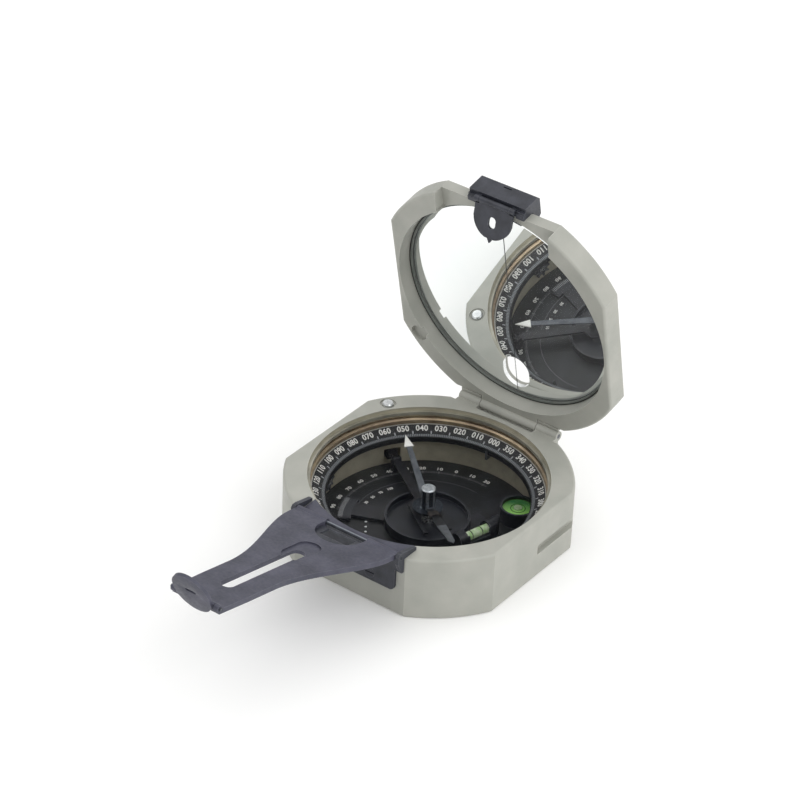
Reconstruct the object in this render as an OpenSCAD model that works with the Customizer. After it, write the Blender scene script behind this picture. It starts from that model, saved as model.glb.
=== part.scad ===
// Pocket transit: a magnetic compass with a mirror lid, a folding sight arm, a
// turning azimuth ring and a clinometer. Millimetres, +Z up, the origin at the
// middle of the base's underside, the sight arm toward -Y, the lid's hinge at +Y.

/* [Case] */
// Width of the case across its flats
case_w = 72; // [66:0.5:80]
// How far the round corners stand out past the flats
corner_out = 4.6; // [4.2:0.1:5.4]
// Height of the case
case_h = 19.3; // [19.1:0.1:21]
// Rounding of the outer edges of case and lid
edge_r = 0.8; // [0.3:0.1:1.1]
// Wall of the rim at the middle of the flats
rim_wall = 2.1; // [1.8:0.1:2.3]
// Height of the recess under the base, for the clinometer lever
recess_h = 1.1; // [1:0.05:1.4]
// Radius of the recess under the base
recess_r = 17; // [15:0.5:20]
// Thickness of the chamber floor
floor_t = 0.9; // [0.8:0.05:1.2]
// Height of the needle chamber, from its floor to the seat of the ring
chamber_h = 8.6; // [8.5:0.05:8.8]
// Width of the ledge that carries the azimuth ring
ring_ledge_w = 1.3; // [1.1:0.05:1.35]
// Length of the tripod slots in the side flats, from front end to case corner
slot_len = 16.8; // [12:0.2:18]
// Height of the tripod slots
slot_h = 3.2; // [2.6:0.1:4]
// Depth of the tripod slots
slot_depth = 1.6; // [1:0.1:1.9]
// Height of the middle of the tripod slots
slot_z = 9.1; // [8:0.1:11]

/* [Cover glass] */
// Height of the stepped ring that the glass rests on
seat_h = 1.7; // [1.6:0.1:1.8]
// Thickness of the cover glass
glass_t = 1; // [0.8:0.1:1.1]
// Thickness of the ring that holds the glass
retain_t = 0.9; // [0.6:0.1:1]
// Width of the ring that holds the glass
retain_w = 0.9; // [0.7:0.1:1.2]
// Thickness of the scale plate on the chamber floor
dial_t = 0.4; // [0.3:0.05:0.5]

/* [Azimuth ring] */
// Width of the step between the rim's opening and the azimuth ring
rim_step = 0.9; // [0.7:0.05:1]
// Height of the bay that the ring turns in
ring_bay_h = 3.9; // [3.8:0.05:4.1]
// Number of teeth cut in the ring's underside, a multiple of the pinion's
ring_teeth = 96; // [96:8:96]
// Height of the ring's teeth
tooth_h = 0.85; // [0.8:0.05:0.95]
// Number of teeth on the adjuster pinion
pinion_teeth = 8; // [8:1:8]
// Radius of the adjuster shaft
adjuster_r = 0.9; // [0.7:0.05:1]
// Azimuth of the adjuster
adjuster_az = 195; // [191.25:3.75:198.75]

/* [Levels] */
// Radius of the round level's cup
bullseye_r = 5.1; // [4.6:0.1:5.2]
// Height of the round level's cup
bullseye_h = 4.5; // [4:0.1:5]
// Gap between the round level's cup and the chamber wall
bullseye_gap = 0.8; // [0.5:0.1:0.9]
// Azimuth of the round level
bullseye_az = 46; // [42:1:50]
// Outer radius of the tubular level's vial
vial_r = 1.7; // [1.4:0.1:1.75]
// Distance of the tubular level's axis inside the path past the round level
level_inset = 5.5; // [5.2:0.1:5.6]
// Direction of the tubular level's axis
level_az = 75; // [70:1:80]

/* [Clinometer] */
// Radius of the clinometer shaft
clino_shaft_r = 1.5; // [1.2:0.1:1.7]
// Wall of the bush that the clinometer shaft turns in
clino_bush_wall = 1.07; // [0.8:0.05:1.3]
// Thickness of the clinometer arm
clino_t = 0.8; // [0.6:0.05:0.9]
// Gap between the damping cup and the tubular level's holder
cup_gap = 0.44; // [0.4:0.05:1.4]
// Height of the damping cup
cup_h = 2.2; // [1.8:0.1:2.25]
// Azimuth of the vernier
vernier_az = 203; // [198:1:208]
// Width of the scale left showing between the vernier and the chamber wall
scale_w = 6.5; // [6.4:0.1:7.5]
// Half of the vernier's angle
vernier_half = 13; // [10:1:16]
// Length of the clinometer lever, from its shaft
lever_len = 13; // [10:0.5:13.5]

/* [Needle] */
// Azimuth of the needle's north end at rest
needle_az = 141; // [130:1:150]
// Gap between the needle's ends and the azimuth ring
needle_gap = 1.2; // [1:0.1:3]
// Thickness of the needle's blades
blade_t = 0.35; // [0.25:0.05:0.4]
// Rise of the blades toward their tips, in degrees
blade_rise = 12.6; // [11:0.1:13]
// Outer radius of the needle's hub
hub_r = 2.05; // [1.9:0.05:2.2]
// Height of the needle's point above the scale plate
pivot_h = 11.05; // [10.9:0.05:11.1]
// Turns of wire in the needle's weight
coil_turns = 7; // [5:1:8]
// Thickness of the weight's wire
coil_wire = 0.36; // [0.3:0.02:0.4]

/* [Needle lifter] */
// Azimuth of the lifter and its button
lift_az = 145.2; // [143:0.2:147]
// Distance of the lift button's middle outside the rim's opening
lift_out = 3.1; // [2.9:0.1:3.3]
// Radius of the lift button's head
button_r = 1.65; // [1.4:0.05:1.7]
// Height that the lift button stands above the case
button_proud = 0.5; // [0.45:0.05:0.6]
// Distance of the lifter's post inside the chamber wall
post_inset = 3.7; // [3.5:0.1:4.2]
// Thickness of the lifter
lifter_t = 0.6; // [0.4:0.05:0.65]
// Reach of the lifter's fork past the middle
fork_reach = 9; // [6:0.5:9.5]

/* [Lid] */
// Height of the lid
lid_h = 7; // [6.9:0.1:8]
// Depth of the mirror's face inside the lid
mirror_depth = 4.8; // [4.7:0.1:5]
// Thickness of the mirror
mirror_t = 1.2; // [1:0.1:1.2]
// How far the mirror reaches past the rim's opening
mirror_over = 0.4; // [0.1:0.1:0.5]
// Width of the window in the mirror
window_w = 9; // [8:0.2:10]
// Length of the window in the mirror
window_len = 11; // [10.4:0.2:12]
// Distance of the window's middle inside the mirror's edge
window_inset = 8.7; // [8.3:0.1:9.3]
// Angle that the lid is opened to
lid_open = 77.7; // [70:0.1:85]
// Radius of the lid hinge's knuckles
lid_knuckle_r = 1.5; // [1.3:0.05:1.6]
// Radius of the lid hinge's pin
lid_pin_r = 0.7; // [0.5:0.05:0.8]
// Distance of the lid hinge's ends inside the ends of the flat
lid_hinge_inset = 1.8; // [0.8:0.2:4.8]

/* [Small sight] */
// Length of the small sight's leaf, from its hinge to its round end
small_len = 9.9; // [9:0.1:10.4]
// Width of the small sight's leaf
small_w = 12.4; // [12:0.1:12.6]
// Thickness of the small sight's leaf
small_t = 0.8; // [0.6:0.05:0.9]
// Angle of the small sight in front of the mirror
small_swing = 22; // [15:1:24]

/* [Sight arm] */
// Length of the sight arm, from its hinge to the tip leaf's hinge
arm_len = 64.8; // [62:0.2:65]
// Thickness of the sight arm
arm_t = 1.5; // [1.2:0.1:1.6]
// Distance of the sight arm's root inside the ends of the flat, room for the lugs
arm_inset = 1.8; // [1.7:0.1:2.6]
// Half of the sight arm's width at its neck
arm_neck_half = 8; // [7:0.1:8.2]
// Half of the sight arm's width at its end
arm_end_half = 8.9; // [8.6:0.1:9.2]
// Width of the long sighting slot
sight_slot_w = 3.4; // [2.8:0.1:4]
// Angle that the sight arm is raised to
arm_raise = 12.5; // [8:0.5:16]
// Radius of the sight arm's hinge pin
arm_pin_r = 0.6; // [0.5:0.05:0.65]
// Length of the tip leaf, from its hinge
tip_len = 16; // [14:0.2:17]
// Width of the tip leaf
tip_w = 16; // [15:0.2:16.4]
// Thickness of the tip leaf
tip_t = 1.3; // [1:0.05:1.35]
// Angle of the tip leaf above the sight arm
tip_raise = 57.5; // [50:0.5:65]

/* [Hidden] */
$fn = 64;
eps = 0.01;
// Running clearance of a pin or shaft in its bore
run_gap = 0.05;
// Clearance of a piece that is fixed in its seat
fit_gap = 0.03;
// Clearance between flat faces that pass each other
face_gap = 0.1;

case_half = case_w / 2;
corner_r = case_half + corner_out;
flat_half = sqrt(corner_r * corner_r - case_half * case_half);
rim_r = case_half - rim_wall;
ring_r = rim_r - rim_step;
chamber_r = ring_r - ring_ledge_w;
floor_z = recess_h + floor_t;
dial_z = floor_z + dial_t;
ring_seat_z = floor_z + chamber_h;
ledge_z = ring_seat_z + ring_bay_h;
glass_z = ledge_z + seat_h;
retain_z = glass_z + glass_t;
ring_z = ring_seat_z + run_gap;
ring_bay_r = ring_r + run_gap;

// Face teeth of the ring and the pinion in mesh with them
tooth_w = 2.3;
ring_tooth_r1 = chamber_r - 0.1;
ring_tooth_r0 = ring_tooth_r1 - tooth_w;
ring_mesh_r = (ring_tooth_r0 + ring_tooth_r1) / 2;
ring_lip_r = ring_tooth_r0 - 0.8;
tooth_pitch = 2 * PI * ring_mesh_r / ring_teeth;
tooth_gap_w = tooth_pitch / 2;
pinion_pitch_r = pinion_teeth * tooth_pitch / (2 * PI);
pinion_tip_r = pinion_pitch_r + 0.35;
pinion_root_r = pinion_pitch_r - 0.75;
pinion_z = ring_z + 0.15 - pinion_pitch_r;
pinion_r0 = ring_tooth_r0 + 0.2;
pinion_r1 = chamber_r - 0.3;
adjuster_bush_r = adjuster_r + 0.7;
adjuster_head_r = 2;
adjuster_head_t = 1.1;
adjuster_seat = case_half - 1.1;

// Clinometer, stacked up from the scale plate
clino_z = dial_z + 0.2;
cup_z = clino_z + clino_t;
cup_floor_t = 0.5;
cup_wall = 0.6;
clino_bush_r = clino_shaft_r + clino_bush_wall;
clino_neck_r = clino_shaft_r - 0.4;
lever_z = 0.15;
lever_t = recess_h - 0.3;
lever_hub_r = 3.5;
lever_tip_r = 2.4;
vernier_r = chamber_r - scale_w;
bullseye_dist = chamber_r - bullseye_r - bullseye_gap;
sweep_r = bullseye_dist - bullseye_r - 0.4;
level_dist = sweep_r - level_inset;
holder_wall = 0.6;
vial_z = cup_z + vial_r + 0.8;
holder_r = vial_r + holder_wall;
cup_r = level_dist - holder_r - cup_gap;
vial_start = -0.6;
vial_len = 12.4;
holder_end = 14.4;

// Needle, measured from its point
needle_len = ring_lip_r - needle_gap;
blade_half = 1.1;
point_z = dial_z + pivot_h;
hub_top_z = point_z + 1.55;
hub_bottom_z = point_z - 6.55;
flange_z = point_z - 5.15;
flange_r = 4.3;
flange_t = 0.4;
jewel_z = point_z - 0.45;
jewel_r = 1.2;
post_r = 1.6;
coil_sides = 6;
coil_steps = 14;
coil_pitch = coil_wire + 0.08;
coil_start = 5.6;
coil_half_w = blade_half + coil_wire / 2 + 0.2;
coil_half_h = blade_t / 2 + coil_wire / 2 + 0.22;

// Needle lifter
lift_r = rim_r + lift_out;
post_dist = chamber_r - post_inset;
lift_z = cup_z + cup_h + 0.2;
lifter_z = lift_z + lifter_t / 2;
fork_half = 3.45;
prong_w = 1.2;
lever_half = 1.4;
waist_half = 0.7;
fulcrum_r = 1.6;
fulcrum_pin_r = 0.35;
button_top = case_h + button_proud;
button_h = 2.6;
stem_r = button_r - 0.75;
button_travel = button_proud;
spring_t = 0.3;
pocket_z0 = floor_z + 1;
pocket_r = lift_r + 2;
pocket_w = 5;

// Lid, in its closed place over the case
lid_z = case_h + face_gap;
mirror_z = lid_z + mirror_depth;
lid_top = lid_z + lid_h;
lid_mouth_r = rim_r + 0.9;
mirror_r = rim_r + mirror_over;
mirror_seat_r = mirror_r + 0.1;
window_y = mirror_r - window_inset;
lid_hinge_half = flat_half - lid_hinge_inset;
lid_axis_y = case_half + 2.6;
lid_axis_z = case_h + 0.05;
lid_knuckle_half = 9.6;
knuckle_gap = 0.2;
notch_half = flat_half + 0.05;
notch_y = -case_half + 6.5;
notch_h = 3.3;

// Small sight, in the closed lid's place
small_axis_y = -case_half - 1.9;
small_axis_z = lid_z + 2.7;
small_knuckle_r = 0.9;
small_knuckle_half = 5;
small_ear = 1.5;
small_pin_r = 0.4;
block_half = 9.3;

// Sight arm, with its hinge in front of the case
arm_axis_y = -case_half - 1.3;
arm_axis_z = case_h + 1.1;
arm_knuckle_r = 1.2;
arm_window_half = 7;
arm_window_y = 3.3;
arm_root_half = flat_half - arm_inset;
lug_x = arm_root_half + 0.2;
lug_t = 1.2;
lug_rise = 1.3;
lug_back = 5.4;
bracket_t = 0.9;
bracket_half = arm_root_half - 1;
bracket_z0 = 8;
bracket_top = case_h - 0.4;
shoulder_z = bracket_z0 + 7;
screw_x = 7.5;
screw_z = 10.5;
screw_r = 1;
screw_head_r = 1.75;
screw_head_h = 0.75;
screw_len = 3.6;
tip_knuckle_r = 1.1;
tip_knuckle_half = 4;
tip_knuckle_gap = 0.2;
tip_pin_r = 0.5;

// Shared shapes

// Rectangle with round corners
module rounded_rect(x0, y0, x1, y1, r) {
    translate([x0 + r, y0]) square([x1 - x0 - 2 * r, y1 - y0]);
    translate([x0, y0 + r]) square([x1 - x0, y1 - y0 - 2 * r]);
    for (x = [x0 + r, x1 - r], y = [y0 + r, y1 - r])
        translate([x, y]) circle(r);
}

// Case outline, a square with round corners, with its edges rounded
module case_block(z0, z1) {
    intersection() {
        rotate_extrude() intersection() {
            rounded_rect(-corner_r, z0, corner_r, z1, edge_r);
            translate([0, z0]) square([corner_r, z1 - z0]);
        }
        rotate([90, 0, 90]) translate([0, 0, -case_w]) linear_extrude(2 * case_w)
            rounded_rect(-case_half, z0, case_half, z1, edge_r);
        rotate([90, 0, 0]) translate([0, 0, -case_w]) linear_extrude(2 * case_w)
            rounded_rect(-case_half, z0, case_half, z1, edge_r);
    }
}

module tube(r_out, r_in, z0, z1) {
    translate([0, 0, z0]) difference() {
        cylinder(r = r_out, h = z1 - z0);
        translate([0, 0, -eps]) cylinder(r = r_in, h = z1 - z0 + 2 * eps);
    }
}

// Cylinder along X between two places
module x_rod(x0, x1, y, z, r) {
    translate([x0, y, z]) rotate([0, 90, 0]) cylinder(r = r, h = x1 - x0);
}

// Slot outline with round ends, w wide and len long, along Y
module obround(w, len) {
    square([w, len - w], center = true);
    for (s = [-1, 1]) translate([0, s * (len - w) / 2]) circle(w / 2);
}

// Turns what is modelled along +X to the lifter's azimuth
module at_lifter() {
    rotate([0, 0, lift_az]) children();
}

// Profile in the radial plane of an azimuth, w wide
module radial_slab(az, w) {
    rotate([0, 0, az]) rotate([90, 0, 0]) translate([0, 0, -w / 2]) linear_extrude(w) children();
}

// Places what is modelled for the closed lid on the opened lid
module on_lid() {
    translate([0, lid_axis_y, lid_axis_z]) rotate([-lid_open, 0, 0])
        translate([0, -lid_axis_y, -lid_axis_z]) children();
}

// Places the sight arm, modelled along -Y from its hinge
module on_arm() {
    translate([0, arm_axis_y, arm_axis_z]) rotate([-arm_raise, 0, 0]) children();
}

// Places the needle's pieces, modelled along +X
module at_needle() {
    rotate([0, 0, needle_az]) children();
}

// Lays a blade outline along the rising needle
module needle_blade(turn) {
    at_needle() rotate([0, 0, turn]) translate([0, 0, flange_z + flange_t])
        rotate([0, -blade_rise, 0]) linear_extrude(blade_t) children();
}

// Case and what is fixed in it

module lid_lug(side) {
    x0 = lid_knuckle_half + knuckle_gap;
    x = side > 0 ? x0 : -lid_hinge_half;
    w = lid_hinge_half - x0;
    z0 = lid_axis_z - lid_knuckle_r;
    x_rod(x, x + w, lid_axis_y, lid_axis_z, lid_knuckle_r);
    translate([x, case_half - 1, z0])
        cube([w, lid_axis_y - case_half + 1, case_h - z0]);
}

module tripod_slot(side) {
    translate([side * (case_half - slot_depth / 2 + eps), flat_half - slot_len + corner_r / 2, slot_z])
        cube([slot_depth + 2 * eps, corner_r, slot_h], center = true);
}

module lifter_pocket() {
    at_lifter() translate([0, -pocket_w / 2, pocket_z0])
        cube([pocket_r, pocket_w, lift_z + lifter_t + 0.8 - pocket_z0]);
}

module case_body() {
    color([0.60, 0.61, 0.57]) difference() {
        union() {
            case_block(0, case_h);
            for (s = [-1, 1]) lid_lug(s);
        }
        translate([0, 0, ledge_z]) cylinder(r = rim_r, h = case_h);
        translate([0, 0, ring_seat_z]) cylinder(r = ring_bay_r, h = case_h);
        translate([0, 0, floor_z]) cylinder(r = chamber_r, h = case_h);
        translate([0, 0, -eps]) cylinder(r = recess_r, h = recess_h + eps);
        cylinder(r = clino_bush_r + fit_gap, h = case_h);
        for (s = [-1, 1]) tripod_slot(s);
        lifter_pocket();
        at_lifter() translate([lift_r, 0, lift_z]) cylinder(r = stem_r + run_gap, h = case_h);
        at_lifter() translate([lift_r, 0, button_top - button_h - button_travel - 0.2])
            cylinder(r = button_r + run_gap, h = case_h);
        at_lifter() translate([lift_r, 0, case_h - 0.5]) cylinder(r = button_r + 0.75, h = case_h);
        rotate([0, 0, adjuster_az]) translate([chamber_r - 1, 0, pinion_z]) rotate([0, 90, 0])
            cylinder(r = adjuster_bush_r + fit_gap, h = case_half);
        rotate([0, 0, adjuster_az]) translate([adjuster_seat, 0, pinion_z]) rotate([0, 90, 0])
            cylinder(r = adjuster_head_r + 0.4, h = case_half);
        x_rod(-case_half, case_half, lid_axis_y, lid_axis_z, lid_pin_r + fit_gap);
        for (s = [-1, 1]) translate([s * screw_x, -case_half + screw_len + 0.4, screw_z])
            rotate([90, 0, 0]) cylinder(r = screw_r + fit_gap, h = case_half);
    }
}

module dial_plate() {
    color([0.16, 0.16, 0.18]) difference() {
        translate([0, 0, floor_z]) cylinder(r = chamber_r - 0.2, h = dial_t);
        cylinder(r = clino_bush_r + 0.1, h = case_h);
        at_lifter() translate([post_dist, 0, 0]) cylinder(r = fulcrum_r + fit_gap, h = case_h);
    }
}

module clino_bush() {
    color([0.72, 0.60, 0.32]) tube(clino_bush_r, clino_shaft_r + run_gap, recess_h, clino_z - run_gap);
}

module seat_ring() {
    step_r = ring_r - 0.2;
    color([0.62, 0.55, 0.44]) rotate_extrude() polygon([
        [rim_r, ledge_z],
        [step_r, ledge_z],
        [step_r, ledge_z + 1],
        [step_r + 0.5, glass_z - 0.3],
        [step_r + 0.5, glass_z],
        [rim_r, glass_z]]);
}

module glass() {
    color([0.85, 0.9, 0.9, 0.25]) translate([0, 0, glass_z]) cylinder(r = rim_r - 0.1, h = glass_t);
}

module retaining_ring() {
    color([0.66, 0.60, 0.50]) tube(rim_r, rim_r - retain_w, retain_z, retain_z + retain_t);
}

module index_pin() {
    inner_r = ring_tooth_r0 - 1.7;
    color([0.9, 0.9, 0.88]) {
        radial_slab(90, 0.6) polygon([
            [chamber_r - 0.03, ring_seat_z - 1],
            [inner_r, ring_seat_z - 1],
            [inner_r, ring_seat_z + 2],
            [inner_r + 0.6, ring_seat_z + 1.4],
            [inner_r + 0.6, ring_seat_z - 0.4],
            [chamber_r - 0.03, ring_seat_z - 0.4]]);
    }
}

module at_bullseye() {
    rotate([0, 0, bullseye_az]) translate([bullseye_dist, 0, dial_z]) children();
}

module bullseye_cup() {
    color([0.10, 0.12, 0.10]) at_bullseye() difference() {
        cylinder(r = bullseye_r, h = bullseye_h);
        translate([0, 0, 0.8]) cylinder(r = bullseye_r - 0.6, h = bullseye_h);
    }
}

module bullseye_window() {
    window_r = bullseye_r - 0.63;
    base_z = bullseye_h - 1;
    color([0.75, 0.95, 0.75, 0.4]) at_bullseye() rotate_extrude() polygon([
        [0, base_z + 0.4],
        [window_r - 0.5, base_z + 0.4],
        [window_r - 0.5, base_z],
        [window_r, base_z],
        [window_r, base_z + 0.9],
        [window_r - 0.5, base_z + 1],
        [window_r - 2, base_z + 1.2],
        [0, base_z + 1.3]]);
}

module bullseye_fluid() {
    color([0.35, 0.80, 0.25]) at_bullseye() difference() {
        translate([0, 0, 0.85]) cylinder(r = bullseye_r - 0.7, h = bullseye_h - 1.9);
        translate([0, 0, bullseye_h - 1.45]) cylinder(r = 1.25, h = 1);
    }
}

module bullseye_bubble() {
    color([0.85, 1, 0.7]) at_bullseye() translate([0, 0, bullseye_h - 1.4])
        cylinder(r = 1.2, h = 0.7);
}

module adjuster_bush() {
    color([0.72, 0.60, 0.32]) rotate([0, 0, adjuster_az]) translate([0, 0, pinion_z])
        rotate([0, 90, 0]) tube(adjuster_bush_r, adjuster_r + run_gap, chamber_r + 0.05, adjuster_seat);
}

// One lug of the bracket, with the corner that joins it to the front plate
module bracket_lug(side) {
    x = side > 0 ? lug_x : -lug_x - lug_t;
    front = arm_axis_y - lug_rise;
    top = arm_axis_z + lug_rise;
    translate([x, 0, 0]) rotate([90, 0, 90]) linear_extrude(lug_t) polygon([
        [-case_half, shoulder_z],
        [-case_half - bracket_t, shoulder_z],
        [front, bracket_top - 0.3],
        [front, top - 0.7],
        [front + 0.7, top],
        [arm_axis_y + 0.6, top],
        [-case_half + lug_back, case_h + 1],
        [-case_half + lug_back, case_h],
        [-case_half, case_h]]);
}

module bracket_plate() {
    lug_end = lug_x + lug_t;
    translate([0, -case_half, 0]) rotate([90, 0, 0]) linear_extrude(bracket_t) {
        rounded_rect(-bracket_half, bracket_z0, bracket_half, bracket_top, 1.6);
        translate([-lug_end, shoulder_z]) square([2 * lug_end, bracket_top - shoulder_z]);
    }
}

module arm_bracket() {
    color([0.10, 0.10, 0.12]) difference() {
        union() {
            bracket_plate();
            for (s = [-1, 1]) bracket_lug(s);
        }
        x_rod(-case_half, case_half, arm_axis_y, arm_axis_z, arm_pin_r + fit_gap);
        for (s = [-1, 1]) translate([s * screw_x, -case_half + 1, screw_z]) rotate([90, 0, 0])
            cylinder(r = screw_r + fit_gap, h = bracket_t + 2);
        for (s = [-1, 1]) translate([s * screw_x, -case_half - bracket_t - eps, screw_z])
            rotate([-90, 0, 0])
                cylinder(r1 = screw_head_r + 0.05, r2 = screw_r, h = screw_head_h + 0.05);
    }
}

module bracket_screws() {
    color([0.10, 0.10, 0.12]) for (s = [-1, 1])
        translate([s * screw_x, -case_half - bracket_t, screw_z]) rotate([-90, 0, 0]) difference() {
            union() {
                cylinder(r1 = screw_head_r, r2 = screw_r, h = screw_head_h);
                cylinder(r = screw_r, h = screw_len);
            }
            translate([-screw_head_r, -0.2, -eps]) cube([2 * screw_head_r, 0.4, 0.35]);
        }
}

module arm_hinge_pin() {
    half = lug_x + lug_t;
    color([0.78, 0.78, 0.76]) x_rod(-half, half, arm_axis_y, arm_axis_z, arm_pin_r);
}

module lid_hinge_pin() {
    color([0.70, 0.70, 0.68])
        x_rod(-lid_hinge_half, lid_hinge_half, lid_axis_y, lid_axis_z, lid_pin_r);
}

module fulcrum_post() {
    dome_z = lifter_z - 0.5;
    color([0.08, 0.08, 0.09]) at_lifter() translate([post_dist, 0, 0]) difference() {
        union() {
            translate([0, 0, floor_z]) cylinder(r = fulcrum_r, h = dome_z - floor_z);
            translate([0, 0, dome_z]) sphere(r = fulcrum_r);
        }
        translate([-3, -waist_half - face_gap, lift_z - 0.6])
            cube([6, 2 * (waist_half + face_gap), 5]);
        translate([0, 2, lifter_z]) rotate([90, 0, 0]) cylinder(r = fulcrum_pin_r + fit_gap, h = 4);
    }
}

module fulcrum_pin() {
    half = fulcrum_r - 0.15;
    color([0.70, 0.70, 0.68]) at_lifter() translate([post_dist, half, lifter_z])
        rotate([90, 0, 0]) cylinder(r = fulcrum_pin_r, h = 2 * half);
}

// Leaf spring bent back on itself under the lifter's outer end
module lift_spring() {
    foot = chamber_r + 0.7;
    bend = pocket_r - 1.2;
    top = lift_z - 0.05;
    color([0.75, 0.65, 0.35]) radial_slab(lift_az, 2.4) polygon([
        [foot, pocket_z0],
        [bend, pocket_z0],
        [bend + 0.4, pocket_z0 + 0.5],
        [foot + 1.4, top],
        [foot + 1.2, top - spring_t],
        [bend - 0.4, pocket_z0 + 0.6],
        [bend - 0.4, pocket_z0 + spring_t],
        [foot, pocket_z0 + spring_t]]);
}

// Azimuth ring and its adjuster

module azimuth_ring() {
    face_z = ledge_z - 0.2;
    color([0.12, 0.12, 0.13]) difference() {
        rotate_extrude() polygon([
            [ring_lip_r, ring_z + 0.25],
            [ring_lip_r + 0.2, face_z - 1.9],
            [ring_lip_r + 1.35, face_z - 1.5],
            [ring_r - 0.4, face_z],
            [ring_r, face_z],
            [ring_r, ring_z],
            [ring_lip_r + 0.5, ring_z]]);
        for (i = [0 : ring_teeth - 1])
            rotate([0, 0, adjuster_az + i * 360 / ring_teeth])
                translate([ring_tooth_r0, -tooth_gap_w / 2, ring_z - 1])
                    cube([ring_tooth_r1 - ring_tooth_r0, tooth_gap_w, 1 + tooth_h]);
    }
}

module pinion_tooth() {
    root_w = tooth_pitch * 0.42;
    tip_w = tooth_pitch * 0.24;
    polygon([
        [0, -root_w / 2],
        [pinion_root_r, -root_w / 2],
        [pinion_tip_r, -tip_w / 2],
        [pinion_tip_r, tip_w / 2],
        [pinion_root_r, root_w / 2],
        [0, root_w / 2]]);
}

module adjuster_pinion() {
    color([0.75, 0.62, 0.30]) rotate([0, 0, adjuster_az]) translate([pinion_r0, 0, pinion_z])
        rotate([0, 90, 0]) difference() {
            linear_extrude(pinion_r1 - pinion_r0) {
                circle(pinion_root_r);
                for (i = [0 : pinion_teeth - 1]) rotate([0, 0, i * 360 / pinion_teeth]) pinion_tooth();
            }
            translate([0, 0, -eps]) cylinder(r = adjuster_r + fit_gap, h = 4);
        }
}

module adjuster_shaft() {
    color([0.70, 0.70, 0.66]) rotate([0, 0, adjuster_az]) translate([0, 0, pinion_z])
        rotate([0, 90, 0]) difference() {
            union() {
                translate([0, 0, pinion_r0]) cylinder(r = adjuster_r, h = adjuster_seat - pinion_r0 + 1);
                translate([0, 0, adjuster_seat + face_gap])
                    cylinder(r = adjuster_head_r, h = adjuster_head_t);
            }
            translate([-3, -0.25, adjuster_seat + adjuster_head_t - 0.4]) cube([6, 0.5, 2]);
        }
}

// Needle

module needle_hub() {
    color([0.78, 0.78, 0.76]) difference() {
        union() {
            translate([0, 0, hub_bottom_z]) cylinder(r = hub_r, h = hub_top_z - hub_bottom_z - 0.3);
            translate([0, 0, hub_top_z - 0.3]) cylinder(r1 = hub_r, r2 = hub_r - 0.3, h = 0.3);
            translate([0, 0, flange_z]) cylinder(r = flange_r, h = flange_t);
        }
        translate([0, 0, hub_bottom_z - 1]) cylinder(r = jewel_r, h = jewel_z + 1.2 - hub_bottom_z + 1);
    }
}

module needle_jewel() {
    color([0.75, 0.20, 0.35]) difference() {
        translate([0, 0, jewel_z]) cylinder(r = jewel_r - fit_gap, h = 1.2);
        translate([0, 0, jewel_z - eps]) cylinder(r1 = 0.65, r2 = 0.1, h = 0.55 + eps);
    }
}

module needle_north() {
    tip = needle_len - 4.6;
    color([0.10, 0.10, 0.11]) needle_blade(0) polygon([
        [hub_r + 0.1, -blade_half],
        [tip, -0.75],
        [tip, 0.75],
        [hub_r + 0.1, blade_half]]);
}

module needle_arrow() {
    base = needle_len - 4.6 + fit_gap;
    color([0.97, 0.97, 0.95]) needle_blade(0) polygon([
        [base, -1.4],
        [needle_len, 0],
        [base, 1.4]]);
}

module needle_south() {
    tail = coil_start + coil_pitch * coil_turns + 1.3;
    color([0.12, 0.12, 0.13]) needle_blade(180) polygon([
        [hub_r + 0.1, -blade_half],
        [tail, -blade_half],
        [tail + 1, -1.5],
        [needle_len - 1.5, -0.9],
        [needle_len, 0],
        [needle_len - 1.5, 0.9],
        [tail + 1, 1.5],
        [tail, blade_half],
        [hub_r + 0.1, blade_half]]);
}

// Wire weight wound round the needle's south half, as one tube with six sides
function coil_point(i) = [
    coil_start + coil_pitch * i / coil_steps,
    coil_half_w * cos(360 * i / coil_steps),
    coil_half_h * sin(360 * i / coil_steps)];
function coil_out(i) = let (v = [0, cos(360 * i / coil_steps) / coil_half_w,
    sin(360 * i / coil_steps) / coil_half_h]) v / norm(v);
function coil_side(i) = let (v = cross(coil_point(i + 1) - coil_point(i - 1), coil_out(i))) v / norm(v);
function coil_corner(i, k) = coil_point(i)
    + coil_wire / 2 * (cos(360 * k / coil_sides) * coil_out(i) + sin(360 * k / coil_sides) * coil_side(i));

module needle_coil() {
    last = coil_turns * coil_steps;
    points = [for (i = [0 : last], k = [0 : coil_sides - 1]) coil_corner(i, k)];
    start_cap = [for (k = [0 : coil_sides - 1]) coil_sides - 1 - k];
    end_cap = [for (k = [0 : coil_sides - 1]) last * coil_sides + k];
    walls = [for (i = [0 : last - 1], k = [0 : coil_sides - 1])
        let (a = i * coil_sides + k, b = i * coil_sides + (k + 1) % coil_sides)
            [a, b, b + coil_sides, a + coil_sides]];
    color([0.75, 0.60, 0.40]) at_needle() rotate([0, 0, 180])
        translate([0, 0, flange_z + flange_t]) rotate([0, -blade_rise, 0])
            translate([0, 0, blade_t / 2]) polyhedron(points, concat([start_cap, end_cap], walls));
}

// Needle lifter and its button

module lift_pin() {
    stem_bottom = lift_z + lifter_t + 0.08;
    color([0.85, 0.85, 0.83]) at_lifter() translate([lift_r, 0, 0]) {
        translate([0, 0, stem_bottom]) cylinder(r = stem_r, h = button_top - button_h - stem_bottom + eps);
        translate([0, 0, button_top - button_h]) cylinder(r = button_r, h = button_h - 0.4);
        translate([0, 0, button_top - 0.4]) cylinder(r1 = button_r, r2 = button_r - 0.3, h = 0.4);
    }
}

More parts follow.
